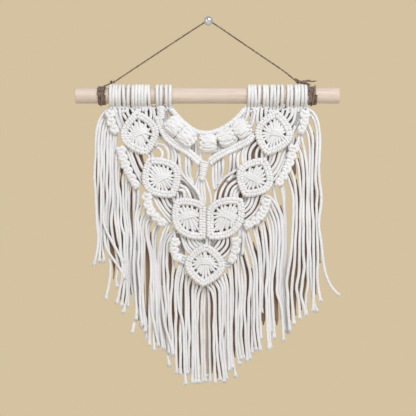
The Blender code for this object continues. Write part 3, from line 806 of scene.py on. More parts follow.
# Strands of the fringe as (x, z), front ones first. Each starts behind what it hangs from.
FRINGES = {
    "fringe_left_1": (
        ((-108.6, -97.4), (-112.6, -98.6), (-117.4, -101.8), (-122.8, -109), (-126.2, -119),
         (-127.8, -136), (-128.6, -160), (-129.6, -184), (-128, -205), (-127, -228), (-125.6, -245),
         (-127, -260), (-130.2, -276)),
        ((-112, -100.6), (-117, -105.6), (-121.4, -113), (-123.8, -126), (-124.8, -146), (-125.2, -170),
         (-126.6, -190), (-126.2, -215), (-125, -234), (-123.4, -252), (-124.4, -272)),
        ((-112, -103.6), (-116, -110), (-119.4, -119), (-121, -134), (-121.6, -160), (-122, -190),
         (-121.8, -215), (-122.2, -235), (-121, -252), (-118.8, -272)),
        ((-110.4, -110), (-114, -115), (-117, -123), (-118.2, -140), (-118.6, -165), (-119, -188),
         (-118.8, -212), (-119, -228), (-115.4, -238), (-109.6, -249), (-103, -261), (-97.2, -272)),
        ((-109.6, -113), (-112.6, -119), (-114.2, -130), (-114.8, -152), (-115.6, -178), (-115.2, -200),
         (-117.2, -222), (-119, -242), (-116.6, -254.6), (-112, -264), (-104.4, -274), (-98.8, -283),
         (-95.4, -291)),
        ((-108.4, -117), (-110.6, -127), (-111.4, -145), (-111.6, -175), (-112, -200), (-113.6, -225),
         (-114.4, -250), (-113.4, -266), (-111.4, -281), (-112, -292), (-114.4, -304), (-116.8, -314)),
        ((-106, -123.6), (-108, -135), (-108.8, -155), (-108.8, -180), (-109, -205), (-110.6, -225),
         (-108.6, -245), (-105.6, -262), (-103.4, -280), (-105, -292), (-103.6, -301)),
        ((-103.6, -120), (-105, -128), (-105.8, -139), (-105.8, -160), (-106.2, -185), (-106.4, -208),
         (-105.6, -228), (-102.8, -245), (-99.4, -260), (-98, -275), (-96.6, -290)),
    ),
    "fringe_left_2": (
        ((-81, -185), (-79.8, -192), (-79.3, -199), (-80.2, -208), (-82.8, -220), (-83.6, -236),
         (-83.8, -255), (-84.4, -275), (-83.8, -295), (-82.8, -312), (-81.8, -326), (-82.2, -338)),
        ((-72, -204), (-77, -211), (-80.2, -221), (-79.4, -236), (-79, -252), (-79.4, -270),
         (-78.6, -292), (-77.8, -312), (-77, -330), (-75, -345)),
        ((-69.6, -212), (-74.4, -219), (-77.4, -229), (-76, -244), (-75.4, -262), (-75.6, -285),
         (-75, -306), (-74, -324), (-73, -340), (-71.6, -352)),
        ((-67.6, -216), (-72.4, -222.6), (-74.6, -234), (-73, -250), (-73.4, -270), (-74, -290),
         (-74.6, -308), (-72.8, -330), (-70.4, -345), (-70.2, -360)),
        ((-101.4, -143), (-104, -152), (-104.8, -168), (-104.2, -186), (-102.6, -206), (-102.6, -224),
         (-101, -243), (-100.2, -258), (-98, -272), (-98.6, -292), (-101.6, -308), (-104.2, -319)),
        ((-99.4, -161), (-102, -168), (-103, -180), (-100.6, -194), (-99.6, -214), (-98.6, -230),
         (-95.8, -246), (-95, -262), (-95, -285), (-96.4, -305), (-98.8, -322)),
        ((-95.4, -170.6), (-97.2, -178), (-96.8, -190), (-96.4, -212), (-94.6, -230), (-93.2, -246),
         (-92.8, -265), (-93, -290), (-93, -312), (-96.6, -330)),
        ((-91.8, -175), (-93.4, -182), (-93.4, -196), (-93.6, -214), (-91.8, -232), (-91.4, -250),
         (-91.4, -275), (-91, -300), (-92, -323)),
        ((-89.4, -179.6), (-90.6, -187), (-90.4, -205), (-90.4, -220), (-88.8, -234), (-88.2, -250),
         (-88.8, -268), (-88.2, -288), (-86.4, -304), (-82.6, -320), (-77.8, -335), (-74.8, -348)),
        ((-84, -184), (-84.6, -195), (-84.6, -210), (-84.2, -225), (-84.2, -240), (-85.6, -258),
         (-85.8, -278), (-84.4, -296), (-82.6, -311), (-80.8, -325), (-82.6, -336), (-84.8, -344),
         (-86.6, -353)),
        ((-81.8, -182), (-81.4, -188), (-82, -197), (-82, -210), (-82.4, -224), (-82.2, -240),
         (-82.2, -258), (-82.4, -280), (-81.6, -300), (-79.6, -318), (-77.6, -332), (-76.4, -346)),
    ),
    "fringe_left_3": (
        ((-65.6, -221), (-69.8, -227), (-71.2, -236), (-69.2, -249), (-66.4, -262), (-65.4, -285),
         (-65, -310), (-64, -328), (-61.4, -342), (-59, -356), (-56, -368)),
        ((-62.4, -223), (-66.6, -229), (-69, -238), (-67.4, -249), (-64.4, -262), (-63.2, -284),
         (-62.6, -310), (-61.6, -330), (-62.6, -350), (-61.6, -373)),
        ((-55, -225), (-58.8, -230), (-61.9, -236), (-63.4, -245), (-62.6, -257), (-61.8, -272),
         (-60.4, -292), (-58.8, -312), (-58.6, -335), (-57.4, -352), (-55.6, -368)),
        ((-53, -226), (-55.8, -230.6), (-58.9, -237), (-60.4, -246), (-60.4, -258), (-59.6, -274),
         (-58.4, -296), (-56.6, -318), (-55.6, -340), (-53.4, -357), (-51.6, -371)),
        ((-47, -227), (-49.2, -233), (-51.6, -240), (-54.6, -250), (-56.6, -262), (-57, -288),
         (-56, -310), (-55, -330), (-54.6, -345), (-51.4, -360), (-49.4, -372)),
        ((-42.6, -228), (-46, -234), (-48.6, -241), (-52, -249.6), (-54, -258), (-54.4, -278),
         (-54, -300), (-52, -320), (-50.2, -342), (-46, -356), (-41.4, -371), (-40.2, -378)),
        ((-37, -233), (-44, -240), (-49.4, -250), (-51, -265), (-50.8, -285), (-50.2, -305),
         (-48.2, -325), (-48, -345), (-45.8, -362), (-44.6, -376)),
        ((-35, -235), (-41.4, -242), (-45.8, -251), (-47, -268), (-46.6, -290), (-46, -312),
         (-44.6, -335), (-43.4, -355), (-41.6, -372)),
        ((-63.6, -262), (-65, -290), (-66.4, -315), (-67, -340), (-67, -367)),
        ((-53, -300), (-51.6, -330), (-50.6, -355), (-48, -374), (-44.2, -390.6)),
    ),
    "fringe_left_4": (
        ((-40.6, -262), (-39.8, -275), (-40.6, -292), (-42.4, -310), (-42.6, -335), (-41, -355),
         (-40, -379)),
        ((-31.4, -268), (-33.6, -279), (-36.6, -290), (-37.4, -310), (-37, -335), (-36.6, -360),
         (-36.4, -385), (-36, -399)),
        ((-23.4, -266), (-28, -272), (-31, -282), (-33.8, -295), (-34.8, -312), (-33.4, -325),
         (-30, -337), (-28.2, -350), (-27.4, -370), (-27, -395), (-25.4, -412)),
        ((-21.6, -271), (-26.4, -278), (-29.2, -290), (-31.4, -305), (-31.6, -325), (-31.6, -350),
         (-32, -375), (-31.4, -400)),
        ((-18.6, -279), (-23.4, -286), (-25.4, -298), (-25.2, -316), (-25, -335), (-25.4, -360),
         (-24.4, -385), (-24, -400)),
        ((-15.4, -282), (-20, -289), (-22.8, -300), (-22.6, -320), (-22.2, -345), (-21.6, -370),
         (-22, -398)),
        ((-15.4, -291.6), (-17.4, -303), (-17.5, -320), (-17.5, -345), (-17.6, -375), (-18.2, -410)),
        ((-11.6, -294.6), (-14.4, -305), (-15.2, -325), (-15.3, -350), (-15, -380), (-14.2, -410)),
        ((-3, -295), (-6.6, -300), (-9.8, -305.6), (-11.6, -313), (-12.7, -335), (-13, -350),
         (-12.4, -372), (-11.4, -390), (-10.8, -410)),
    ),
    "fringe_right_5": (
        ((-3, -295), (-0.4, -300), (3.4, -304.6), (6, -313), (6.6, -335), (6.2, -360), (7, -385),
         (8, -410)),
        ((-0.6, -293), (3.6, -298.6), (7, -304.6), (8.1, -316), (8.3, -335), (8.8, -352), (9.6, -372),
         (11.6, -390), (14, -407)),
        ((3.4, -290), (8.2, -295.8), (11.8, -302), (13.1, -314), (13.1, -335), (13.2, -352),
         (14.4, -375), (17, -395), (18.4, -409)),
        ((10.6, -291.6), (15, -299), (16.2, -312), (16.4, -335), (16.4, -352), (17.2, -375),
         (19.8, -395), (20.8, -406)),
        ((12.4, -279.6), (17.8, -285.8), (21, -295), (22.4, -312), (22.2, -335), (22.6, -355),
         (23, -375), (24, -396)),
        ((16, -273), (21.8, -277.6), (24.6, -290), (25.4, -310), (25.6, -335), (25.4, -355),
         (25.8, -375), (27, -393)),
        ((25.8, -273), (26.8, -290), (28.2, -308), (27.8, -330), (27, -352), (27, -372), (28.4, -388),
         (31.4, -403)),
        ((29, -265), (31.2, -280), (31.8, -300), (32, -322), (31.6, -345), (31.8, -365), (33.6, -380),
         (36, -389)),
        ((31.6, -254), (33.6, -270), (34.6, -290), (35.4, -312), (35, -335), (34.6, -355), (35.6, -372),
         (37.4, -383)),
        ((14, -288.6), (18, -298), (19.2, -312), (19.6, -335), (19.6, -355), (20, -375), (21, -390)),
    ),
    "fringe_right_4": (
        ((43.8, -232.6), (46.4, -244), (50, -257), (54, -270), (55.6, -285), (55.4, -305), (55.4, -330),
         (56.4, -352), (59.4, -373)),
        ((38.6, -228), (41, -236), (43.4, -248), (47, -260), (50.8, -273), (52.4, -288), (52.2, -308),
         (52.2, -332), (52.4, -352), (54.6, -373)),
        ((35.4, -233), (37.4, -243), (39.6, -255), (43.2, -267), (46.6, -280), (47.4, -298),
         (46.2, -318), (46, -340), (45.6, -360), (47.4, -383)),
        ((36.2, -252), (37, -264), (39.6, -276), (42, -290), (42, -308), (41.2, -326), (42.6, -345),
         (43, -365), (44.6, -385)),
        ((50.8, -232), (54.2, -246), (57, -260), (58.8, -276), (59.4, -292), (59, -312), (59, -338),
         (60.2, -360)),
        ((54, -231), (56.4, -244), (58.8, -258), (60.2, -274), (60.6, -290), (61.4, -305), (60.8, -330)),
        ((58.8, -226.6), (61.2, -238), (62.8, -252), (63.8, -268), (63.6, -282), (62, -296),
         (61.8, -310)),
        ((61.4, -224.6), (64, -236), (65.8, -248), (67, -262), (67.4, -278), (66.6, -295), (66.4, -312),
         (66.6, -330), (67.4, -350), (69.2, -371)),
        ((64.6, -218), (68.6, -229), (70.6, -243), (71, -258), (70.6, -274), (69.4, -290), (69.4, -306),
         (69.8, -325), (70, -345), (71, -370)),
        ((46.4, -276), (49.4, -292), (49.6, -310), (49.4, -335), (49.6, -352), (50, -376)),
        ((36.4, -262), (38.4, -280), (38.8, -300), (38.4, -320), (37.4, -340), (38, -360), (40.4, -382)),
    ),
    "fringe_right_3": (
        ((70, -203), (74.4, -211), (78.6, -221), (80.8, -236), (81, -254), (79.6, -272), (78, -290),
         (78.6, -306), (82, -319), (84.2, -330), (85, -345), (85.6, -362)),
        ((67.4, -209), (71.8, -216), (75.6, -226), (77.4, -240), (77.4, -256), (75.6, -274),
         (73.4, -290), (72.4, -304), (73.2, -322), (74.8, -344), (75.4, -359)),
        ((62, -196), (67.4, -197.4), (72.4, -200.6), (77, -207), (81.8, -217), (84, -230), (84.4, -250),
         (83.4, -270), (82, -290), (80.4, -304), (82.8, -318), (83.6, -335)),
        ((74, -185), (74.8, -192), (76.6, -201), (80, -210), (83.8, -220), (85.4, -235), (85.4, -255),
         (84, -275), (82.4, -295), (82.8, -312), (84.6, -330), (86.4, -350)),
        ((80.6, -182), (84, -192), (86, -208), (86.8, -224), (86.8, -240), (86.4, -258), (86.2, -276),
         (84.6, -294), (84.6, -310), (86.8, -328), (88.4, -345), (89.8, -352)),
        ((82.6, -180), (85.8, -190), (87.4, -208), (88.4, -226), (88.8, -245), (88.8, -265),
         (87.6, -284), (86.8, -300), (88, -318), (90, -338), (92, -354)),
        ((65, -205), (69.6, -219), (73.4, -230), (74.4, -245), (74, -262), (72.6, -280), (70.8, -296),
         (71.8, -315), (72.6, -335), (73, -352)),
    ),
    "fringe_right_2": (
        ((88.6, -172), (92.4, -182), (96, -196), (96.8, -212), (96.4, -232), (94.8, -252), (93.6, -268),
         (91.2, -284), (89.4, -298), (90.4, -315), (91.6, -335), (93, -350)),
        ((92.5, -165), (96.9, -176), (99.7, -192), (100.7, -210), (100.1, -232), (98.7, -255),
         (98.1, -275), (95.9, -292), (94.9, -306), (96.3, -325), (97.5, -343)),
        ((96.7, -148), (101.3, -160), (103.9, -178), (105.1, -200), (104.9, -225), (103.3, -248),
         (103.7, -268), (102.9, -288), (100.7, -302), (103.3, -318), (104.1, -337)),
        ((99.6, -138), (104.6, -148), (107.8, -164), (108.8, -190), (108.8, -215), (108, -240),
         (108.6, -262), (108.6, -282), (106.8, -298), (105.4, -310), (108.4, -321), (111.6, -333)),
        ((104.3, -123), (105.9, -131), (108.5, -142), (111.5, -160), (112.7, -185), (112.7, -212),
         (112.3, -235), (113.1, -258), (113.3, -280), (113.7, -296), (111.3, -312), (111.3, -331)),
    ),
    "fringe_right_1": (
        ((111.6, -98), (118.4, -102), (123.2, -110), (126, -124), (126.4, -150), (126, -178),
         (128, -198), (127.8, -215), (126.2, -230), (128.4, -250), (130.6, -270), (134.4, -288),
         (140, -300), (149, -310.6)),
        ((110.8, -101), (117, -105.6), (121.8, -115), (123.8, -130), (122.8, -155), (122.2, -180),
         (124, -205), (123.6, -228), (124.2, -248), (125, -268), (124.2, -290), (125.8, -304),
         (128, -317)),
        ((110, -112), (115, -119), (118.4, -130), (118.4, -148), (117.8, -170), (117.8, -195),
         (119.2, -218), (119.8, -240), (119.8, -262), (120.4, -285), (120, -305), (119.4, -328)),
        ((108.2, -118), (112.6, -126), (115, -140), (115.4, -158), (114.6, -180), (114.6, -205),
         (116, -228), (116, -250), (116.2, -272), (117, -292), (118.6, -308), (121, -320), (124.2, -329)),
    ),
}
# Strands that hang behind the others in the middle: forward, painted shade of their fronts, (x, z)
FRINGES_BEHIND = {
    "fringe_left_4": (
        (-3.6, 0.08, ((-4.4, -299), (-6.6, -308), (-7.6, -330), (-7.8, -360), (-7.2, -390),
                      (-6.8, -410))),
        (-3.6, 0.08, ((-3.4, -300), (-4.4, -312), (-4.8, -335), (-4.6, -365), (-3.6, -409))),
        (-6.0, 0.8, ((-2, -298), (-2, -320), (-1.8, -350), (-1.4, -380), (-1, -404))),
    ),
    "fringe_right_5": (
        (-3.6, 0.08, ((-0.2, -302), (1.2, -318), (1.6, -340), (1.5, -365), (2, -385), (2.4, -409))),
    ),
}
# Cords of the back layer that close gaps between two bundles of the fringe, or in its middle; their
# fronts carry painted shade
FRINGE_GAPS_BEHIND = {
    "fringe_left_3": (
        ((-69.8, -240), (-69.6, -260), (-69.2, -290), (-68.8, -320), (-68.6, -345)),
    ),
    "fringe_left_4": (
        ((-43, -250), (-43.4, -275), (-44, -300), (-44, -330), (-43, -360)),
        ((-28, -282), (-28.5, -300), (-28.5, -320), (-28, -340)),
        ((-11.4, -295), (-9.6, -308), (-9.8, -320), (-10.3, -340), (-10.3, -365), (-9.4, -390)),
    ),
    "fringe_right_5": (
        ((5.6, -293), (3.6, -308), (3.8, -325), (4, -350), (4, -375), (4.6, -400)),
    ),
    "fringe_right_4": (
        ((62.6, -296), (62.8, -310), (63.2, -345)),
        ((76, -296), (77.2, -310), (78.6, -345)),
    ),
}


def add_fringe(material):
    for name, strands in FRINGES.items():
        yarn = Yarn()
        bed = Bed(FRINGE_DEEPEST)
        for strand in strands:
            radius = FRINGE_RADIUS * rng.uniform(*FRINGE_THICKNESS)
            forward = FRINGE_FORWARD + rng.uniform(*FRINGE_SPREAD)
            add_strand(yarn, bed, strand, radius, forward, lift=FRINGE_LIFT)
        for forward, painted_shade, strand in FRINGES_BEHIND.get(name, ()):
            add_strand(yarn, bed, strand, FRINGE_RADIUS, forward, painted_shade=painted_shade)
        for strand in [*between_by_height(strands), *FRINGE_GAPS_BEHIND.get(name, ())]:
            add_behind(yarn, strand, FRINGE_BEHIND_FORWARD)
        yarn.make_cotton(name, material)


# ---------------------------------------------------------------- open ground

GROUND_RADIUS = 1.85
GROUND_FORWARD = 2.6
GROUND_BEHIND_FORWARD = -4.8
GROUND_DEEPEST = 3.4
GROUND_STEP = 2.0

# Cords of the open ground as (x, z), front ones first. Their ends lie behind the ornaments.
GROUND = {
    "net_left": (
        ((-107, -97), (-105.6, -103), (-104, -110), (-101.4, -117), (-98.4, -123)),
        ((-103.6, -97.4), (-103.8, -104), (-102, -111), (-99.6, -117), (-97, -121)),
        ((-100.4, -97), (-100.2, -104), (-98.6, -111), (-96.4, -117)),
        ((-98, -97), (-97.6, -102), (-95.6, -106), (-93, -110)),
        ((-91.8, -97), (-91.6, -103), (-88.6, -108)),
        ((-87, -98), (-84, -104)),
        ((-79, -98), (-80, -104)),
        ((-71.4, -97), (-70.6, -104), (-69.6, -110)),
        ((-66, -96), (-65, -103), (-65.6, -110)),
        ((-63, -96), (-61.4, -103), (-61.2, -110), (-62.4, -117)),
        ((-57.2, -96), (-56.6, -103), (-56.4, -110), (-55, -116)),
        ((-53.8, -96), (-53.6, -104), (-53.2, -112), (-50.6, -119)),
        ((-50.8, -97), (-50.6, -106), (-50.2, -113), (-48, -121)),
        ((-46.6, -98), (-47.6, -106), (-47.4, -114), (-45, -121)),
        ((-44.6, -97), (-42.6, -103), (-41, -110)),
        ((-58.6, -116), (-58.8, -126), (-58.6, -134), (-60, -141)),
        ((-60, -122), (-57, -123), (-52, -126.8), (-47.6, -132), (-42.6, -138.6), (-38.4, -146),
         (-37, -153), (-38.4, -161)),
        ((-61.4, -128), (-56.4, -129), (-53, -131.4), (-48.4, -134.6), (-43.8, -140.4), (-40.8, -148),
         (-40.6, -156), (-43, -163)),
        ((-62.6, -139), (-58.4, -138), (-55, -138.2), (-50, -139.8), (-46.4, -145), (-45.2, -151),
         (-46.2, -160)),
        ((-65.4, -144), (-61.6, -142.6), (-56.4, -143), (-53, -146), (-52.2, -150.6), (-54.4, -156)),
        ((-38.6, -141), (-35.2, -147), (-33.2, -153), (-32.6, -162), (-31.2, -170), (-27, -175.6),
         (-20.6, -182.6), (-14.4, -189.4), (-10.4, -196), (-7.6, -206)),
        ((-26, -147), (-25.4, -158), (-25.6, -167), (-24.6, -173.4), (-20.4, -179.4), (-16.6, -184)),
        ((-22, -149), (-21.8, -163), (-21.5, -172), (-19, -179), (-14.6, -186)),
        ((-19.6, -150), (-19.6, -162), (-20.4, -170), (-21, -177)),
        ((-14.6, -128), (-14.2, -138), (-13.6, -150)),
        ((-16.6, -130), (-17, -140), (-17.6, -151)),
        ((-21, -140), (-21, -148)),
        ((-44, -124), (-46.4, -133)),
        ((-40, -128), (-40, -137)),
        ((-34, -130), (-35.4, -139)),
        ((-29, -138), (-29.4, -143)),
        ((-25, -139), (-25.6, -146)),
        ((-8.6, -144), (-9, -151), (-8.4, -158)),
        ((-9, -158), (-11.2, -168), (-13, -177), (-14.4, -186), (-11, -196)),
        ((-33, -177), (-28, -178.8), (-21.4, -185.4), (-14.8, -193), (-10.6, -203)),
        ((-33.4, -179.6), (-27.6, -181.2), (-22, -187.6), (-16.4, -195), (-13.4, -204)),
        ((-34, -184.6), (-26.6, -187.6), (-22.2, -194), (-19.6, -203)),
        ((-35, -190), (-28.4, -191.4), (-27, -198), (-27.4, -205)),
        ((-36, -190), (-34.6, -199), (-35, -206)),
        ((-40, -192), (-39.6, -200), (-38, -206)),
        ((-34, -173), (-31.2, -181), (-32.4, -190), (-37, -197), (-41, -204)),
        ((-37, -186), (-31.6, -190.6), (-30.6, -198), (-31, -207)),
        ((-24, -196), (-23.2, -202), (-24, -208)),
        ((-93, -140), (-92.2, -146), (-90.2, -151.6), (-87.2, -159.6), (-82.4, -169.6), (-77.6, -178.4),
         (-72, -187)),
        ((-89.4, -140), (-88.6, -146), (-86.9, -151), (-83.8, -159.6), (-79.6, -169), (-76, -175.6),
         (-71, -182)),
        ((-83.4, -142), (-81.6, -149.4), (-79.4, -155), (-77.2, -160.6), (-72, -169)),
        ((-71, -146), (-68, -151), (-66, -156), (-62, -161)),
        ((-66, -144), (-64.6, -150), (-61, -158)),
        ((-65.4, -191), (-62.2, -199), (-58, -207.6), (-52.8, -215.4), (-46, -223.6), (-37, -231)),
        ((-62, -193), (-58, -201), (-53.4, -208.6), (-48.2, -216), (-43, -221), (-36, -226)),
        ((-55.4, -194), (-51.8, -201), (-49.2, -207.4), (-44.4, -214), (-36, -219)),
        ((-48, -192), (-47.6, -200), (-44.8, -207), (-37, -213)),
        ((-42.6, -192), (-43.4, -200), (-41.4, -207), (-36, -210)),
        ((-31, -237), (-29.6, -246), (-27.6, -253), (-23.6, -260), (-17, -265)),
        ((-27, -237), (-26.8, -247), (-24.4, -253), (-20, -259), (-13, -263)),
        ((-22.4, -238), (-22.6, -246), (-20.6, -252), (-15, -258), (-10, -261)),
        ((-18, -238), (-18.6, -246), (-15.6, -252), (-9, -258)),
        ((-14.4, -238), (-14.4, -246), (-11.4, -251), (-6, -256)),
        ((-10.6, -238), (-10.4, -246), (-7.8, -251), (-4, -256)),
        ((-6.4, -238), (-6.4, -245), (-4.6, -250), (-3, -256)),
        ((-33, -263), (-29, -265.6), (-22, -267)),
        ((-33, -267), (-28.6, -269.4), (-21, -270)),
        ((-33, -271), (-28, -273), (-21, -273.6)),
        ((-36, -228), (-38.2, -235), (-38.4, -242), (-36.4, -250)),
    ),
    "net_right": (
        ((104.4, -121), (103, -130), (101.4, -136), (97, -143)),
        ((107.4, -121), (106.4, -130), (103.6, -137), (99.4, -144)),
        ((99, -118), (95.4, -127), (93.4, -134), (94.6, -142)),
        ((95, -122), (91.6, -130), (90, -138)),
        ((97, -128), (96.4, -136), (93.4, -143)),
        ((106.8, -98), (104.8, -106), (102.4, -114), (99.4, -120), (96, -126)),
        ((102.8, -97), (102, -105), (100.4, -112), (97.8, -118), (95, -123)),
        ((99.4, -97), (98.6, -105), (97, -112), (91, -120)),
        ((96.4, -97), (95.6, -103), (92.6, -109), (87, -114)),
        ((90.6, -97), (89.4, -104), (86, -110)),
        ((85, -98), (84, -104), (80, -110)),
        ((78.6, -98), (79, -104)),
        ((70.6, -98), (71.4, -105)),
        ((65.6, -96), (65.4, -104), (66.4, -110)),
        ((61, -97), (60.4, -104), (60.2, -109), (61.6, -115)),
        ((57, -97), (56, -104), (55.6, -110), (56.6, -118)),
        ((53, -96), (52.4, -104), (50.8, -112), (48.4, -120)),
        ((49.4, -98), (50.2, -106), (48.4, -113), (46, -119)),
        ((46, -96), (45, -103), (42, -112)),
        ((42.6, -95), (41.4, -102), (38, -111)),
        ((55.6, -124), (50.6, -129), (47.8, -133), (42.8, -139.4), (39.6, -146), (38.7, -154),
         (40, -162)),
        ((57, -127), (51.6, -132.4), (46.4, -138.6), (43, -146), (42, -154), (43, -161)),
        ((58, -134), (53.6, -138), (49.6, -142.8), (47.4, -148.4), (47, -158)),
        ((60, -139), (56.6, -143.4), (54.8, -148), (54.6, -158)),
        ((42, -138), (37.8, -144), (34.6, -149.4), (33.4, -156), (34, -163), (36, -170)),
        ((5.4, -144), (5.2, -150), (4.4, -156)),
        ((8.8, -138), (9, -146), (8.4, -154)),
        ((12, -131), (12.4, -142), (12, -152)),
        ((15.8, -141), (15.6, -149)),
        ((20.4, -139), (20, -147)),
        ((25.4, -138), (25.4, -144)),
        ((30.4, -134), (30.6, -142)),
        ((35.6, -130), (36, -139)),
        ((41, -128), (41.4, -136)),
        ((45, -125), (45.6, -133)),
        ((5.2, -156), (5, -170), (5.4, -181), (7, -190)),
        ((8.7, -154), (8.7, -170), (8.6, -181), (7.8, -190)),
        ((12.3, -152), (12.4, -168), (11.8, -177), (10, -184)),
        ((16.3, -150), (16.6, -163), (16, -172), (13.4, -180), (11, -187)),
        ((34.6, -166), (27, -170.6), (20.4, -174.8), (14.2, -181.4), (10, -188.6), (7.9, -197),
         (7, -208)),
        ((25.4, -148), (24.9, -159), (24.3, -167), (22, -173)),
        ((29.5, -147), (29.3, -158), (29, -167), (27, -174.6), (22, -180)),
        ((32, -154), (31.8, -162), (31, -170)),
        ((35.4, -172.6), (27.6, -176.4), (21.4, -181.6), (16.4, -188.6), (13.4, -197), (12.6, -207)),
        ((35.6, -178), (29, -182), (23.6, -187), (20.4, -194), (18.8, -204)),
        ((35.6, -184), (30, -187.4), (26.8, -192.6), (25, -202)),
        ((38, -184), (31.4, -191), (29.2, -199), (29.4, -207)),
        ((36, -190), (33, -196), (32.8, -205)),
        ((92.4, -140), (90.2, -147), (87.6, -155), (84.6, -162.6), (81.8, -168.6), (78, -175),
         (71, -182)),
        ((88.8, -140), (86.4, -148), (84, -155), (81, -162), (77.6, -168.6), (70, -177)),
        ((83.4, -140), (81.4, -147), (80, -153), (77.8, -159.6), (71, -169)),
        ((77.8, -141), (76, -148), (74.8, -153), (72.6, -159), (67, -165)),
        ((71, -149), (70.6, -155), (69, -161)),
        ((66, -146), (65, -158)),
        ((61.6, -144), (61, -158)),
        ((64, -190), (61.4, -199), (58.8, -207.4), (54.6, -214.6), (49.6, -220.4), (43, -225.4),
         (35, -229)),
        ((58, -192), (55, -201), (52.4, -208.2), (48.6, -214.4), (42, -220), (35, -224)),
        ((52, -192), (50.4, -201.4), (48.4, -207.4), (43.4, -213.4), (35, -218)),
        ((46, -192), (46.4, -201), (43, -208), (35, -213)),
        ((-2, -240), (-1.6, -247), (-2, -256)),
        ((1.4, -240), (1.8, -247), (0.4, -256)),
        ((5.4, -240), (5.8, -246.6), (3.4, -251), (-1, -257)),
        ((9.2, -240), (9.2, -247), (6.4, -252), (1, -258)),
        ((12.8, -239), (13.4, -247), (11, -252), (6, -258)),
        ((16.8, -239), (17.8, -246.6), (16, -252.6), (11, -258), (6, -262)),
        ((20.4, -238), (22, -246), (21.4, -253), (17.4, -259), (11, -265)),
        ((24, -236), (26.6, -246), (26.6, -254.6), (22.4, -261.6), (15, -268)),
        ((28, -267), (23, -269.4), (16, -270)),
        ((27.6, -271), (22.6, -272.8), (15, -273.4)),
        ((26.6, -275), (22, -276.6), (15, -277)),
        ((34, -233), (35, -240), (33, -247)),
        ((34, -228), (38, -234), (39.8, -243), (39.4, -254), (38.4, -264)),
        ((47, -190), (43.4, -198), (41.8, -207), (38, -215)),
        ((42, -192), (40.2, -199), (36, -206)),
    ),
}
# Cords at the back of wider gaps in the ground, their fronts darkened with painted shade
GROUND_GAPS_BEHIND = {
    "net_left": (
        ((-91.6, -148), (-90, -157), (-87.4, -164), (-84, -172), (-78.6, -181)),
        ((-85, -147), (-82.6, -156), (-79.4, -163), (-75.6, -170)),
        ((-77.6, -147), (-76.2, -156), (-73.6, -163)),
        ((-98.6, -158), (-98.6, -166), (-97.6, -174)),
        ((-43.4, -140), (-37.6, -148), (-36, -156), (-36.6, -164)),
    ),
    "net_right": (
        ((89.4, -150), (87.6, -160), (84.4, -168), (80.4, -176), (73.6, -183)),
        ((98.4, -130), (98.6, -140), (99.4, -152)),
        ((97.6, -156), (97.8, -164), (98.6, -174)),
    ),
}
# A short chain of knots that hangs from the third heading on the left
TOP_CHAINS = {"net_left": (((-53.4, -96), (-53.8, -103), (-53.4, -110.4)),)}
TOP_CHAIN_FORWARD = 4.2
TOP_CHAIN = {
    "knots": 3, "half_width": 5.0, "half_depth": 3.4, "radius": 1.9, "pinch": 0.3, "wobble": 0.09,
}
# Cords that show at the back of the recess beside the lowest leaf, by their x
RECESS_CORDS = {"net_left": (-36.0, -33.4, -30.8, -28.2)}
RECESS_TOP_Z = -240.0
RECESS_FOOT_Z = -268.0
RECESS_DRIFT = -0.4
RECESS_FORWARD = -1.6
# Painted shade on the fronts of these cords
RECESS_SHADE = 0.35
# Short back-layer cords, with painted shade on their fronts, behind the first row of knots: first, end
# and step of x on the right
FIRST_ROW_BACKING = (49.0, 110.0, 3.6)
FIRST_ROW_CORD = ((0.0, -94.0), (0.8, -101.0), (0.4, -108.0))
SIDES = {"net_left": -1.0, "net_right": 1.0}


def add_ground(material):
    for name, strands in GROUND.items():
        yarn = Yarn()
        bed = Bed(GROUND_DEEPEST)
        for strand in strands:
            add_strand(yarn, bed, strand, GROUND_RADIUS, GROUND_FORWARD, GROUND_STEP, frayed=False)
        for strand in [*between_by_length(strands), *GROUND_GAPS_BEHIND[name]]:
            add_behind(yarn, strand, GROUND_BEHIND_FORWARD)
        for path in TOP_CHAINS.get(name, ()):
            add_sinnet(yarn, on_cloth(smooth_line(path, 1.0), TOP_CHAIN_FORWARD), **TOP_CHAIN)
        for x in RECESS_CORDS.get(name, ()):
            flat = [(x, RECESS_TOP_Z), (x + RECESS_DRIFT, RECESS_FOOT_Z)]
            add_strand(
                yarn, bed, flat, GROUND_RADIUS, RECESS_FORWARD, GROUND_STEP, frayed=False,
                painted_shade=RECESS_SHADE,
            )
        for x in np.arange(*FIRST_ROW_BACKING):
            flat = [(SIDES[name] * (x + shift), z) for shift, z in FIRST_ROW_CORD]
            add_behind(yarn, flat, GROUND_BEHIND_FORWARD)
        yarn.make_cotton(name, material)


# ---------------------------------------------------------------- leaves

# Name, top tip, lower tip, bulge to the right, to the left, bluntness, x limits
LEAVES = (
    ("leaf_left_1", (-82.3, -100.4), (-70.3, -151.6), 20.5, 24.0, 0.80, None),
    ("leaf_left_2", (-69.2, -154.0), (-38.4, -199.0), 24.0, 22.5, 0.80, None),
    ("leaf_left_3", (-37.0, -201.2), (-3.6, -246.2), 24.0, 20.5, 0.70, (-60.0, -2.4)),
    ("leaf_centre", (-2.4, -251.0), (-6.4, -300.0), 24.0, 22.5, 0.76, None),
    ("leaf_right_3", (38.6, -200.4), (-0.6, -245.6), 20.5, 23.5, 0.70, (-2.0, 60.0)),
    ("leaf_right_2", (64.8, -154.0), (40.4, -198.4), 22.5, 21.5, 0.80, None),
    ("leaf_right_1", (78.2, -99.6), (66.2, -151.6), 24.5, 19.5, 0.80, None),
)
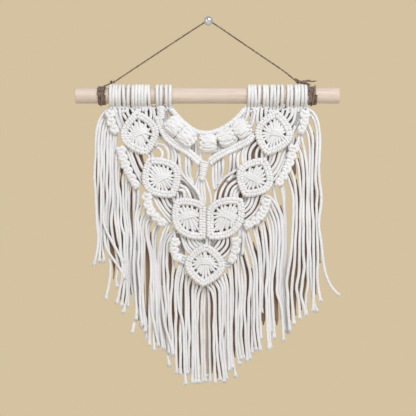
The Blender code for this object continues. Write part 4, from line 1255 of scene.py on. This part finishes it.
# Name: middle x, z, lie of the vein in degrees, half length of the vein, then the bearing of
# each cord that runs in from the rim, in degrees
LEAF_CORDS = {
    "leaf_left_1": (-79, -126, 21, 9, (
        110, 130, 148, 169, 190, 206, 222, 238, 256, 266, 276, 286, 298, 320, 352, 22, 58, 90)),
    "leaf_left_2": (-53, -177, 29, 8, (
        117, 129, 144, 160, 180, 203, 224, 243, 258, 277, 293, 318, 333, 350, 12, 37, 64, 85, 103)),
    "leaf_left_3": (-23, -220, 14, 9, (
        160, 136, 114, 94, 72, 45, 15, 0, 333, 307, 288, 268, 250, 228, 205, 185)),
    "leaf_centre": (-4, -272, 0, 8, (
        84, 94, 111, 130, 148, 175, 195, 214, 236, 262, 276, 290, 316, 335, 350, 13, 32, 54)),
    "leaf_right_3": (22, -220, -22, 9, (
        168, 142, 118, 100, 75, 58, 36, 10, 348, 322, 304, 288, 268, 248, 226, 206, 188)),
    "leaf_right_2": (50, -177, -29, 9, (
        132, 96, 68, 53, 36, 21, 3, 341, 320, 298, 271, 250, 235, 215, 198, 180, 162, 147)),
    "leaf_right_1": (76, -126, -6, 7, (
        176, 155, 137, 111, 93, 80, 67, 52, 34, 13, 340, 318, 297, 280, 264, 250, 237, 212, 194)),
}
LEAF_STATIONS = 12
# The rim's rows of hitches: how far in from the edge, half width and half depth of each
RIM_ROWS = (
    (2.6, 2.9, 3.5),
    (5.9, 2.8, 3.3),
)
RIM_PITCH = 3.0
RIM_RADIUS = 1.95
RIM_FORWARD = 5.6
RIM_TUCK = 0.35  # by how much an inset point may be nearer to the leaf's edge than asked
WEAVE_RADIUS = 1.6
WEAVE_STEP = 1.4
SPOKE_FORWARD = (4.5, 5.1, 4.8)  # taken in turn
SPOKE_MEETS = 0.75  # how far out on the vein the cords from its ends stop
SPOKE_PAST = 2.0
SPOKE_SWEEP = 0.07
SPOKE_RISE = 1.1
SPOKE_THINNER = 0.1
FILLER_ROOM = 3.6  # along the rim, for each cord between two given ones
FILLER_START = 5.4  # from the rim's middle, so that a small hole stays at the rim
FILLER_FORWARD = 4.0
VEIN_CORDS = 3
VEIN_SPACING = 2.3
VEIN_FORWARD = 6.9
VEIN_DROP = 2.4  # of its ends
VEIN_BOW = 0.8
VEIN_SHORTER = 0.12
BACKING_SPACING = 3.2
BACKING_MARGINS = (4.0, 3.0)
BACKING_REACH = 1.2
BACKING_BOW = 0.6
BACKING_FORWARD = 0.5
BACKING_THICKER = 1.1
# Painted shade on the fronts of the backing cords
BACKING_SHADE = 0.75


def leaf_outline(top, foot, right, left, blunt, limits):
    """The leaf's edge as (x, z), from its top tip down its right side and back up."""
    top = np.array(top)
    along = np.array(foot) - top
    across = unit(np.array([-along[1], along[0]]))
    outline = []
    for side, bulge in ((1, right), (-1, left)):
        places = range(LEAF_STATIONS) if side > 0 else range(LEAF_STATIONS, 0, -1)
        for i in places:
            t = (1 - math.cos(math.pi * i / LEAF_STATIONS)) / 2
            width = bulge * max(math.sin(math.pi * t), 0.0) ** blunt
            point = top + along * t + across * (side * width)
            if limits:
                point[0] = min(max(point[0], limits[0]), limits[1])
            outline.append(point)
    return np.array(outline)


def inset(outline, distance):
    """A closed outline moved inwards by a distance, without the loops this makes at its tips."""
    edge = smooth_line(np.vstack([outline, outline[:1]]), 1.0)[:-1]
    ahead = unit(np.roll(edge, -1, axis=0) - np.roll(edge, 1, axis=0))
    inward = np.column_stack([ahead[:, 1], -ahead[:, 0]])
    middle = edge.mean(axis=0)
    inward *= np.sign(((middle - edge) * inward).sum(axis=1))[:, None]
    moved = edge + inward * distance
    nearest = np.linalg.norm(moved[:, None] - edge[None, :], axis=2).min(axis=1)
    kept = moved[nearest > distance - RIM_TUCK]
    return even_steps(np.vstack([kept, kept[:1]]), 2.0)[:-1]


def add_rim(yarn, outline):
    """Rows of double hitches inside the leaf's edge. Returns the middle of the inner row."""
    for row, (distance, half_width, half_depth) in enumerate(RIM_ROWS):
        rim = inset(outline, distance)
        rim = smooth_line(np.vstack([rim, rim[:1]]), 1.0)
        line = on_cloth(rim, RIM_FORWARD)
        add_hitch_row(yarn, line, half_width, half_depth, RIM_RADIUS, RIM_PITCH, 0.5 * row)
    return rim


def at_rim(rim, middle, bearing_deg):
    """The rim's point at a bearing from the leaf's middle."""
    offsets = rim - middle
    bearings = np.degrees(np.arctan2(offsets[:, 1], offsets[:, 0]))
    return rim[np.argmin(np.abs((bearings - bearing_deg + 180) % 360 - 180))]


def spokes_of(rim, middle, bearings):
    """The cords that run in: bearing, start and forward of the given ones, then of fillers."""
    spokes = []
    for i, bearing in enumerate(bearings):
        spokes.append((bearing, 0.0, SPOKE_FORWARD[i % len(SPOKE_FORWARD)]))
    bearings = sorted(bearing % 360 for bearing in bearings)
    for first, second in zip(bearings, bearings[1:] + [bearings[0] + 360]):
        room = np.linalg.norm(at_rim(rim, middle, first) - at_rim(rim, middle, second))
        count = max(1, round(room / FILLER_ROOM) - 1)
        for i in range(count):
            bearing = first + (second - first) * (i + 1) / (count + 1)
            spokes.append((bearing, FILLER_START, FILLER_FORWARD))
    return spokes


def add_spoke(yarn, outer, middle, vein, half_vein, start, forward):
    """A cord that runs in from the rim, rises a little and dives under the vein."""
    share = float(np.dot(unit(outer - middle), vein))
    inner = middle + vein * half_vein * share * SPOKE_MEETS
    outer = outer + unit(inner - outer) * start
    inward = inner - outer
    past = inner + unit(inward) * SPOKE_PAST
    sweep = np.array([-inward[1], inward[0]]) * SPOKE_SWEEP * share
    flat = smooth_line([outer, (outer + inner) / 2 + sweep, inner, past], WEAVE_STEP)
    line = on_cloth(flat, forward)
    run = np.linspace(0.0, 1.0, len(line))
    line[:, 1] -= SPOKE_RISE * np.sin(math.pi * run * 0.5)
    yarn.add_tube(line, WEAVE_RADIUS * (1.0 - SPOKE_THINNER * run))


def add_vein(yarn, middle, vein, half_vein):
    """The cords that lie side by side over the middle of the weave."""
    side = np.array([-vein[1], vein[0]])
    for i in range(VEIN_CORDS):
        centre = middle + side * (i - (VEIN_CORDS - 1) / 2) * VEIN_SPACING
        half = vein * half_vein * (1.0 - VEIN_SHORTER * abs(i - 1))
        flat = smooth_line([centre - half, centre + side * VEIN_BOW, centre + half], WEAVE_STEP)
        run = np.linspace(-1.0, 1.0, len(flat))
        line = on_cloth(flat, VEIN_FORWARD)
        line[:, 1] += VEIN_DROP * run**4
        yarn.add_tube(line, WEAVE_RADIUS)


def add_backing(yarn, rim, middle, vein):
    """The back of the weave: close cords that run along the vein from rim to rim, with painted shade on
    their fronts so that the holes read dark.
    """
    side = np.array([-vein[1], vein[0]])
    offsets = rim - middle
    along, aside = offsets @ vein, offsets @ side
    first, last = BACKING_MARGINS
    for place in np.arange(aside.min() + first, aside.max() - last, BACKING_SPACING):
        near = along[np.abs(aside - place) < BACKING_REACH]
        start, end = [middle + side * place + vein * reach for reach in (near.min(), near.max())]
        flat = smooth_line([start, (start + end) / 2 + side * BACKING_BOW, end], 3.0)
        line = on_cloth(flat, BACKING_FORWARD)
        yarn.add_tube(line, CORD_RADIUS * BACKING_THICKER, sides=6, painted_shade=BACKING_SHADE)


def add_leaf(name, top, foot, right, left, blunt, limits, material):
    """A leaf: a rim of double hitches round a centre of woven cords."""
    yarn = Yarn()
    rim = add_rim(yarn, leaf_outline(top, foot, right, left, blunt, limits))
    x, z, lie_deg, half_vein, bearings = LEAF_CORDS[name]
    middle = np.array([x, z], float)
    lie = math.radians(lie_deg)
    vein = np.array([math.cos(lie), math.sin(lie)])
    for bearing, start, forward in spokes_of(rim, middle, bearings):
        outer = at_rim(rim, middle, bearing)
        add_spoke(yarn, outer, middle, vein, half_vein, start, forward)
    add_vein(yarn, middle, vein, half_vein)
    add_backing(yarn, rim, middle, vein)
    yarn.make_cotton(name, material)


# ---------------------------------------------------------------- knotted bands

# Name, knots, path of (x, z)
CHAINS = (
    ("chain_left_1", 3, ((-110.8, -100.4), (-110.9, -109), (-108.3, -117.5), (-104.2, -125.5))),
    ("chain_left_2", 6, ((-99.8, -142), (-97.8, -150.6), (-95.2, -159), (-91.2, -168), (-80.6, -187.4))),
    ("chain_left_3", 5, ((-70, -194.4), (-69, -204), (-65.6, -213.6), (-59.5, -221.1), (-49.2, -229.4))),
    ("chain_left_4", 3, ((-36.6, -246), (-39.1, -257), (-36, -266.6), (-30.6, -268.6))),
    ("chain_right_1", 3, ((109.6, -100.6), (109.6, -109), (107.6, -118), (104.4, -126))),
    ("chain_right_2", 6, ((97.2, -140), (94.8, -150), (91.8, -160), (88.4, -168.4), (78.6, -185))),
    ("chain_right_3", 5, ((66.6, -201), (63.6, -213), (57.6, -221.8), (49.8, -227.9), (42, -232.4))),
    ("chain_right_4", 3, ((30.6, -244.6), (31.4, -254), (28, -266), (25.4, -272.4))),
)
CHAIN = {
    "half_width": 5.8, "half_depth": 3.6, "radius": 2.35, "pinch": 0.4, "wobble": 0.09, "taper": 0.16,
}

NECK_PATH = (
    (-41.6, -99.4), (-35, -107.4), (-25.4, -116.6), (-12.6, -124.6), (-1.2, -126), (7.8, -124.4),
    (22.6, -117), (34.6, -106.8), (40.6, -99.6),
)
NECK_ROW = {"half_width": 3.5, "half_depth": 3.2, "radius": 2.3, "pitch": 2.9}
NECK_FORWARD = 5.0
STEM_PATHS = {
    "stem_left": (
        (-57, -107.5), (-52.8, -119.9), (-45.8, -131.8), (-35.4, -140), (-23.2, -147.2),
        (-12.8, -156), (-8.6, -160.2),
    ),
    "stem_right": (
        (49.8, -127), (46.4, -133.2), (37.6, -138.4), (18, -148), (6.5, -154.6), (1.4, -158.8),
    ),
}
STEM_ROW = {"half_width": 3.1, "half_depth": 2.8, "radius": 2.25, "pitch": 2.7}
STEM_ROW_PLACES = (-1.95, 1.95)  # beside the stem's middle
STEM_ROW_START = 0.25
STEM_FORWARD = 4.6
WRAP_PATH = ((-4.4, -158.4), (-5.8, -169), (-7.4, -178.4))
WRAP_HALF_WIDTHS = (5.8, 3.9)  # at its top and foot
WRAP_ROW = {"half_depth": 3.6, "radius": 1.5, "pitch": 2.4}
WRAP_FORWARD = 5.4
# Cords that come out under the wrap
STEM_TAILS = (
    ((-10, -175), (-12.4, -181), (-14.4, -186), (-13.6, -190)),
    ((-8.8, -175), (-10.6, -183), (-11.4, -189), (-9.6, -197)),
    ((-7.4, -175), (-7.9, -187), (-6.9, -196), (-5.8, -206)),
    ((-6, -175), (-4.9, -187), (-3.9, -196), (-3.8, -208)),
    ((-4.8, -174), (-2.2, -182), (0.8, -190), (2.7, -198), (3, -209)),
)
TAIL_FORWARD = (5.0, 2.6)  # under the wrap, and from the fifth point on

# Name, middle x, z, tilt in degrees, half size across and down
BERRIES = (
    ("berry_1", -39.4, -118.0, -43, 9.6, 9.2),
    ("berry_2", -24.8, -131.2, -36, 9.8, 9.4),
    ("berry_3", -0.8, -137.8, 0, 9.6, 9.6),
    ("berry_4", 20.6, -130.6, 28, 9.8, 9.2),
    ("berry_5", 37.8, -121.0, 38, 9.4, 9.6),
)
BERRY = {"knots": 5, "half_depth": 4.0, "radius": 2.2, "pinch": 0.0, "wobble": 0.13}
BERRY_TURN_DEG = 112  # how far the sinnet is rolled up, each way from its front
BERRY_POINTS = 15
BERRY_BULGE = 4.6
BERRY_FORWARD = 4.6
BERRY_INSET = 2.0  # of the sinnet's middle from the berry's upper and lower edge


def add_chains(material):
    for count, (name, knots, path) in enumerate(CHAINS):
        yarn = Yarn()
        line = on_cloth(smooth_line(path, 1.0), ORNAMENT_BACK + CHAIN["half_depth"])
        add_sinnet(yarn, line, knots, mirrored=count % 2 == 1, **CHAIN)
        yarn.make_cotton(name, material)


def add_neck_band(material):
    yarn = Yarn()
    add_hitch_row(yarn, on_cloth(smooth_line(NECK_PATH, 1.0), NECK_FORWARD), **NECK_ROW)
    yarn.make_cotton("neck_band", material)


def add_stem(material):
    """Two branches of two hitched rows each, and the wrapped knot that joins them."""
    for name, path in STEM_PATHS.items():
        yarn = Yarn()
        middle = smooth_line(path, 1.0)
        for place in STEM_ROW_PLACES:
            row = on_cloth(beside(middle, place), STEM_FORWARD)
            add_hitch_row(yarn, row, start=STEM_ROW_START * place, **STEM_ROW)
        yarn.make_cotton(name, material)
    yarn = Yarn()
    wrap = on_cloth(smooth_line(WRAP_PATH, 1.0), WRAP_FORWARD)
    add_hitch_row(yarn, wrap, half_width=np.linspace(*WRAP_HALF_WIDTHS, len(wrap)), **WRAP_ROW)
    for tail in STEM_TAILS:
        flat = smooth_line(tail, 2.0)
        forward = np.interp(np.arange(len(flat)), (0, 4), TAIL_FORWARD)
        yarn.add_tube(on_cloth(flat, forward), CORD_RADIUS)
    yarn.make_cotton("stem_wrap", material)


def add_berries(material):
    """Rolled-up sinnets: square knots of doubled cords that bulge forward."""
    for count, (name, x, z, tilt_deg, half_across, half_down) in enumerate(BERRIES):
        yarn = Yarn()
        tilt = math.radians(tilt_deg)
        down = np.array([math.sin(tilt), -math.cos(tilt)])
        angles = np.radians(np.linspace(-BERRY_TURN_DEG, BERRY_TURN_DEG, BERRY_POINTS))
        flat = np.array([x, z]) + np.outer(np.sin(angles) * (half_down - BERRY_INSET), down)
        line = on_cloth(flat, BERRY_FORWARD)
        line[:, 1] -= BERRY_BULGE * np.cos(angles)
        line = even_steps(line, 0.8)
        add_sinnet(yarn, line, half_width=half_across, mirrored=count % 2 == 1, **BERRY)
        yarn.make_cotton(name, material)


# ---------------------------------------------------------------- cords mounted on the dowel

# Name, x of each cord where it passes over the dowel's front
HEADINGS = (
    ("heading_left_1", (-110.8, -107.4, -104.0, -100.6, -95.8, -90.8)),
    ("heading_left_2", (-85.4, -81.8, -78.2, -74.8, -71.2, -67.4)),
    ("heading_left_3", (-57.8, -53.6, -47.6, -43.4)),
    ("heading_right_1", (46.2, 49.8, 53.4, 57.6)),
    ("heading_right_2", (63.4, 66.8, 71.6, 75.2, 79.0, 83.6)),
    ("heading_right_3", (90.4, 94.2, 99.4, 102.6, 106.6, 110.4)),
)
MOUNT_RADIUS = 1.88
MOUNT_REACH = DOWEL_RADIUS + MOUNT_RADIUS + 0.1  # from the dowel's axis to a cord's middle
MOUNT_TURN_DEG = (-58, 268)  # from the lower front over the top and back to the underside
MOUNT_POINTS = 27
MOUNT_LEAN = 0.35
MOUNT_UNEVEN = 0.03
BAR_ANGLE_DEG = 60  # below the level of the axis, at the back
BAR_BACK = 2.6
BAR_RISE = 0.4
BAR_END = 1.0  # past the two cords
BAR_BEND = 0.6
BAR_END_FORWARD = 1.6
KNOT_ROW_Z = -96.4
SECOND_ROW_DROP = 4.0
KNOT_OVERHANG = (1.8, 1.4)  # past the two cords that it joins, in the first and second row
KNOT_TILT = 0.9
KNOT_FORWARD = 1.4
KNOT_ROW = {"half_width": 3.0, "half_depth": 3.3, "radius": 1.6, "pitch": 3.1}


def add_mounted_cord(yarn, x):
    """A cord from the first knots up over the dowel and down behind it."""
    lean = rng.normal(0.0, MOUNT_LEAN)
    angles = np.radians(np.linspace(*MOUNT_TURN_DEG, MOUNT_POINTS))
    ring = np.column_stack([
        x + lean * np.sin(angles),
        DOWEL_AXIS_Y - MOUNT_REACH * np.cos(angles),
        DOWEL_AXIS_Z + MOUNT_REACH * np.sin(angles),
    ])
    leg = np.array([[x, ground_y(KNOT_ROW_Z), KNOT_ROW_Z - 1.0]])
    line = smooth_line(np.vstack([leg, ring]), 1.5)
    yarn.add_tube(line, MOUNT_RADIUS * uneven(len(line), MOUNT_UNEVEN, every=8), sides=10)


def add_bar(yarn, left, right):
    """The bar of a mounting loop, which joins two cords behind the dowel."""
    angle = math.radians(BAR_ANGLE_DEG)
    back = DOWEL_AXIS_Y + MOUNT_REACH * math.cos(angle) + BAR_BACK
    low = DOWEL_AXIS_Z - MOUNT_REACH * math.sin(angle) + BAR_RISE
    bar = [
        (left - BAR_END, back - BAR_END_FORWARD, low),
        (left + BAR_BEND, back, low - BAR_BEND),
        (right - BAR_BEND, back, low - BAR_BEND),
        (right + BAR_END, back - BAR_END_FORWARD, low),
    ]
    yarn.add_tube(smooth_line(bar, 1.0), MOUNT_RADIUS)


def add_first_knots(yarn, places):
    """Two rows of small hitched knots, each over two neighbouring cords."""
    knots = []
    for row, overhang in enumerate(KNOT_OVERHANG):
        for left, right in zip(places[row::2], places[row + 1::2]):
            knots.append((left - overhang, right + overhang, KNOT_ROW_Z - SECOND_ROW_DROP * row))
    for left, right, z in knots:
        tilt, drop = rng.uniform(-KNOT_TILT, KNOT_TILT, 2)
        level = z + drop
        row = [(left, level + tilt), ((left + right) / 2, level), (right, level - tilt)]
        line = on_cloth(smooth_line(row, 0.5), KNOT_FORWARD)
        add_hitch_row(yarn, line, start=rng.uniform(0.0, 1.0), **KNOT_ROW)


def add_headings(material):
    """Cords looped over the dowel, with their bars at the back and their first knots below."""
    for name, places in HEADINGS:
        yarn = Yarn()
        for x in places:
            add_mounted_cord(yarn, x)
        for left, right in zip(places[::2], places[1::2]):
            add_bar(yarn, left, right)
        add_first_knots(yarn, places)
        yarn.make_cotton(name, material)


# ---------------------------------------------------------------- twine

# Name, left and right edge of the winding, middle of the turn that crosses it
TWINE_WRAPS = (
    ("twine_wrap_left", -126.2, -116.4, -119.8),
    ("twine_wrap_right", 112.6, 123.0, 119.4),
)
WRAP_TURNS = 6
WRAP_POINTS = 40  # on each turn
WRAP_REACH = DOWEL_RADIUS + TWINE_DIAMETER / 2 + 0.1
WRAP_SWAY = 0.35
WRAP_SWAY_RATE = 0.37  # in waves for each turn
CROSSING_LIFT = 0.9  # in diameters of the twine, over the turns below
CROSSING_HALF_RUN = 2.2
CROSSING_SLANT = 1.1  # along the dowel, for each millimetre of its run
CROSSING_TURN = 0.75  # round the dowel in radians, for the same
# Each knot's centre x, y, z, half length and half height
KNOT_SIZES = {
    "twine_knot_left": (-109.0, -13.3, -67.6, 3.4, 2.0),
    "twine_knot_right": (102.6, -13.3, -67.6, 3.6, 2.0),
}
# The hanger's route from knot to knot over the pin's shaft, and the loose end's route
HANGER_ROUTE = (
    (-105.1, -13.3, -66.2), (-92.0, -12.9, -57.3), (-70.0, -12.1, -42.6), (-48.0, -11.2, -27.9),
    (-28.0, -10.3, -14.6), (-12.0, -9.5, -4.0), (-5.4, -9.1, 0.3), (-2.6, -9.0, 2.9),
    (0.0, -9.0, 4.2), (2.6, -9.0, 3.0), (5.4, -9.1, 0.4), (12.0, -9.5, -4.1),
    (28.0, -10.3, -15.2), (48.0, -11.2, -29.0), (68.0, -12.1, -42.7), (86.0, -12.9, -55.1),
    (98.6, -13.3, -65.3),
)
TAIL_ROUTE = (
    (106.6, -13.3, -67.4), (110.0, -13.5, -67.0), (114.0, -13.9, -66.6), (118.0, -14.2, -66.9),
    (122.0, -14.4, -66.5),
)
KNOT_TO_TAIL = ((100.0, -13.3, -66.0), (104.0, -13.9, -66.6), TAIL_ROUTE[0])
SECOND_TAIL_SHIFT = (0.0, 0.9, 0.9)
# From each knot down to the winding beside it
LEADS = {
    "twine_knot_left": (
        (-106.0, -13.3, -66.6), (-109.4, -13.6, -68.4), (-112.6, -14.0, -69.8),
        (-115.0, -15.0, -71.0), (-116.4, -18.6, -72.4), (-116.6, -22.4, -76.6),
        (-117.4, -23.9, -81.0),
    ),
    "twine_knot_right": (
        (97.6, -13.2, -64.5), (100.4, -13.4, -66.4), (105.0, -13.6, -68.6),
        (109.4, -13.8, -69.4), (112.8, -14.2, -71.0), (114.0, -17.0, -72.2),
        (114.6, -21.6, -76.0), (115.4, -23.8, -80.6),
    ),
}
OVERHAND_TURNS = 1.6
OVERHAND_POINTS = 49
OVERHAND_RUN = 0.8  # of the knot's length
OVERHAND_SWAY = 0.7
SECOND_LEAD_POINTS = 6
SECOND_LEAD_SHIFT = (1.6, -0.9, 0.9)
TWINE_STEP = 0.6
PLY_RADIUS = 0.55
PLY_OFFSET = 0.42
PLY_PITCH = 4.6
PLY_TWIST = 0.9
PLY_UNEVEN = 0.06
PLY_NORMAL = (0.13, 0.97, 0.2)  # skewed, so that no twine runs along it
FUZZ_RADII = (0.06, 0.06, 0.03)
FUZZ_LENGTH = (0.9, 2.2)
FUZZ_BEND = 0.7  # of its length, where a fibre begins to drift
FUZZ_DRIFT = 1.2
HANGER_FUZZ = 260
WRAP_FUZZ = 40
KNOT_FUZZ = 16
TAIL_FIBRES = 22
FIBRE_RADII = (0.2, 0.16, 0.06)
FIBRE_LENGTH = (1.0, 2.2)
FIBRE_SPREAD = 0.5
FIBRE_FLARE = (0.6, 1.2)  # how much of its spread a fibre has halfway and at its end


def add_twine(yarn, line):
    """Two plies twisted round each other along a line."""
    fine = even_steps(np.asarray(line, float), TWINE_STEP)
    ahead = unit(np.gradient(fine, axis=0))
    right = unit(np.cross(ahead, PLY_NORMAL))
    up = np.cross(ahead, right)
    run = TWINE_STEP * np.arange(len(fine))[:, None]
    for start in (0.0, math.pi):
        turn = math.tau * run / PLY_PITCH + start
        ply = fine + PLY_OFFSET * (right * np.cos(turn) + up * np.sin(turn))
        yarn.add_tube(ply, PLY_RADIUS * uneven(len(ply), PLY_UNEVEN, every=5), sides=6, twist=PLY_TWIST)


def add_fuzz(yarn, line, count):
    """Loose fibres that stand off a twine."""
    for _ in range(count):
        root = line[rng.integers(2, len(line) - 2)]
        out = unit(rng.normal(0.0, 1.0, 3)) * rng.uniform(*FUZZ_LENGTH)
        drift = rng.normal(0.0, FUZZ_DRIFT, 3)
        fibre = [root, root + out * FUZZ_BEND, root + out + drift]
        yarn.add_tube(fibre, FUZZ_RADII, sides=3)


def add_hanger(material):
    yarn = Yarn()
    line = smooth_line(HANGER_ROUTE, TWINE_STEP)
    add_twine(yarn, line)
    hanger = yarn.make("jute_hanger", material, ["twine_hanger"])
    fuzz = Yarn()
    add_fuzz(fuzz, line, HANGER_FUZZ)
    loose = fuzz.make("jute_hanger_fuzz", material)


def round_dowel(x, reach, turn):
    """A line round the dowel's axis; turn is 0 at the front."""
    return np.column_stack([
        x,
        DOWEL_AXIS_Y - reach * np.cos(turn),
        DOWEL_AXIS_Z + reach * np.sin(turn),
    ])


def add_wraps(material):
    """The windings on the dowel, each crossed by a slanting turn."""
    for name, left, right, crossing_x in TWINE_WRAPS:
        yarn = Yarn()
        share = np.linspace(0.0, 1.0, WRAP_POINTS * WRAP_TURNS)
        turn = math.tau * WRAP_TURNS * share
        sway = WRAP_SWAY * np.sin(turn * WRAP_SWAY_RATE + 1.0)
        x = left + TWINE_DIAMETER / 2 + (right - left - TWINE_DIAMETER) * share + sway
        line = round_dowel(x, WRAP_REACH, turn)
        add_twine(yarn, line)
        slant = np.linspace(-CROSSING_HALF_RUN, CROSSING_HALF_RUN, WRAP_POINTS)
        over = WRAP_REACH + TWINE_DIAMETER * CROSSING_LIFT
        add_twine(yarn, round_dowel(crossing_x + slant * CROSSING_SLANT, over, slant * CROSSING_TURN))
        add_fuzz(yarn, line, WRAP_FUZZ)
        yarn.make("jute_" + name, material, [name])


def knot_line(x, y, z, half_length, half_height):
    """An overhand knot's path: a loop that wraps round itself once."""
    t = np.linspace(0.0, 1.0, OVERHAND_POINTS)
    turn = math.tau * OVERHAND_TURNS * t
    girth = half_height - TWINE_DIAMETER / 2
    return np.column_stack([
        x + half_length * (2 * t - 1) * OVERHAND_RUN + OVERHAND_SWAY * np.sin(turn),
        y - girth * np.cos(turn),
        z + girth * np.sin(turn),
    ])


def add_loose_end(yarn):
    """The doubled loose end at the right knot, with a second lead beside the first."""
    lead = LEADS["twine_knot_right"][:SECOND_LEAD_POINTS]
    add_twine(yarn, smooth_line(lead, TWINE_STEP) + SECOND_LEAD_SHIFT)
    tail = smooth_line(TAIL_ROUTE, TWINE_STEP)
    add_twine(yarn, tail)
    add_twine(yarn, smooth_line(KNOT_TO_TAIL, TWINE_STEP))
    add_twine(yarn, tail[: 2 * len(tail) // 3] + SECOND_TAIL_SHIFT)
    halfway, full = FIBRE_FLARE
    for spread in rng.normal(0.0, FIBRE_SPREAD, (TAIL_FIBRES, 3)):
        root = tail[rng.integers(len(tail) // 3, len(tail))]
        ahead = np.array([rng.uniform(*FIBRE_LENGTH), 0.0, 0.0])
        fibre = [root, root + ahead / 2 + spread * halfway, root + ahead + spread * full]
        yarn.add_tube(fibre, FIBRE_RADII, sides=4)


def add_twine_knots(material):
    """The knots beside the windings, with their leads and the loose end."""
    for name, sizes in KNOT_SIZES.items():
        yarn = Yarn()
        line = knot_line(*sizes)
        add_twine(yarn, smooth_line(line, TWINE_STEP))
        add_twine(yarn, smooth_line(LEADS[name], TWINE_STEP))
        nodes = [name]
        if name == "twine_knot_right":
            add_loose_end(yarn)
            nodes.append("twine_tail")
        add_fuzz(yarn, line, KNOT_FUZZ)
        yarn.make("jute_" + name, material, nodes)


# ---------------------------------------------------------------- pin, dowel and floor

PIN_EDGE = 0.15
PIN_NECK = (1.4, 0.6)  # from the shaft's front end, where the fillet begins and ends
PIN_NECK_RISE = 0.2
PIN_BALL_DEG = (30, 181, 6)  # first, end and step of the angle from the ball's back
PIN_SEGMENTS = 48
PIN_TIP_RADIUS = 0.001

FLOOR_Z = -0.62
FLOOR_HALF_WIDTH = 3.0
FLOOR_FRONT_Y = -3.2
FLOOR_BACK_Y = 0.9  # far enough forward to stay below the picture


def pin_profile():
    """The pin's outline as (y, radius), from its flat end at the wall to the ball's front."""
    profile = [(0.0, 0.0), (0.0, PIN_SHAFT_RADIUS - PIN_EDGE), (-PIN_EDGE, PIN_SHAFT_RADIUS)]
    for back, rise in zip(PIN_NECK, (0.0, PIN_NECK_RISE)):
        profile.append((-PIN_SHAFT_LENGTH + back, PIN_SHAFT_RADIUS + rise))
    for angle_deg in range(*PIN_BALL_DEG):
        angle = math.radians(angle_deg)
        y = PIN_HEAD_Y + PIN_HEAD_RADIUS * math.cos(angle)
        profile.append((y, PIN_HEAD_RADIUS * math.sin(angle)))
    return profile


def add_pin(material):
    """A turned pin: flat shaft end at the wall, shaft, a small neck fillet and a ball."""
    profile = pin_profile()
    points = []
    for y, radius in profile:
        climb = PIN_HEAD_Z * min(y / PIN_HEAD_Y, 1.0)
        radius = max(radius, PIN_TIP_RADIUS)
        for i in range(PIN_SEGMENTS):
            angle = math.tau * i / PIN_SEGMENTS
            points.append((radius * math.cos(angle), y, climb + radius * math.sin(angle)))
    faces = []
    for row in range(len(profile) - 1):
        for i in range(PIN_SEGMENTS):
            here = row * PIN_SEGMENTS + i
            following = row * PIN_SEGMENTS + (i + 1) % PIN_SEGMENTS
            faces.append((here, following, following + PIN_SEGMENTS, here + PIN_SEGMENTS))
    faces.append(tuple(range(PIN_SEGMENTS)))
    faces.append(tuple(range(len(points) - PIN_SEGMENTS, len(points))))
    mesh = bpy.data.meshes.new("steel_pin")
    mesh.from_pydata([tuple(value * MM for value in point) for point in points], [], faces)
    add_piece("steel_pin", mesh, material, ["wall_pin"])


def finish_dowel():
    """The CAD dowel keeps its shape and gets wood."""
    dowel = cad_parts["dowel"]
    dowel.data.materials[0] = wood_material()


def add_floor():
    corners = [
        (-FLOOR_HALF_WIDTH, FLOOR_FRONT_Y, FLOOR_Z),
        (FLOOR_HALF_WIDTH, FLOOR_FRONT_Y, FLOOR_Z),
        (FLOOR_HALF_WIDTH, FLOOR_BACK_Y, FLOOR_Z),
        (-FLOOR_HALF_WIDTH, FLOOR_BACK_Y, FLOOR_Z),
    ]
    mesh = bpy.data.meshes.new("floor")
    mesh.from_pydata(corners, [], [(0, 1, 2, 3)])
    mesh.materials.append(floor_material())
    floor = put_in_scene("floor", mesh)


# ---------------------------------------------------------------- the whole scene


def build():
    cotton = cotton_material()
    jute = jute_material()
    add_camera()
    add_hanger(jute)
    add_wraps(jute)
    add_twine_knots(jute)
    for light in LIGHTS:
        add_area_light(*light)
    add_studio()
    add_floor()
    finish_dowel()
    add_pin(steel_material())
    add_headings(cotton)
    add_neck_band(cotton)
    add_stem(cotton)
    add_berries(cotton)
    for leaf in LEAVES:
        add_leaf(*leaf, cotton)
    add_chains(cotton)
    add_ground(cotton)
    add_fringe(cotton)


build()
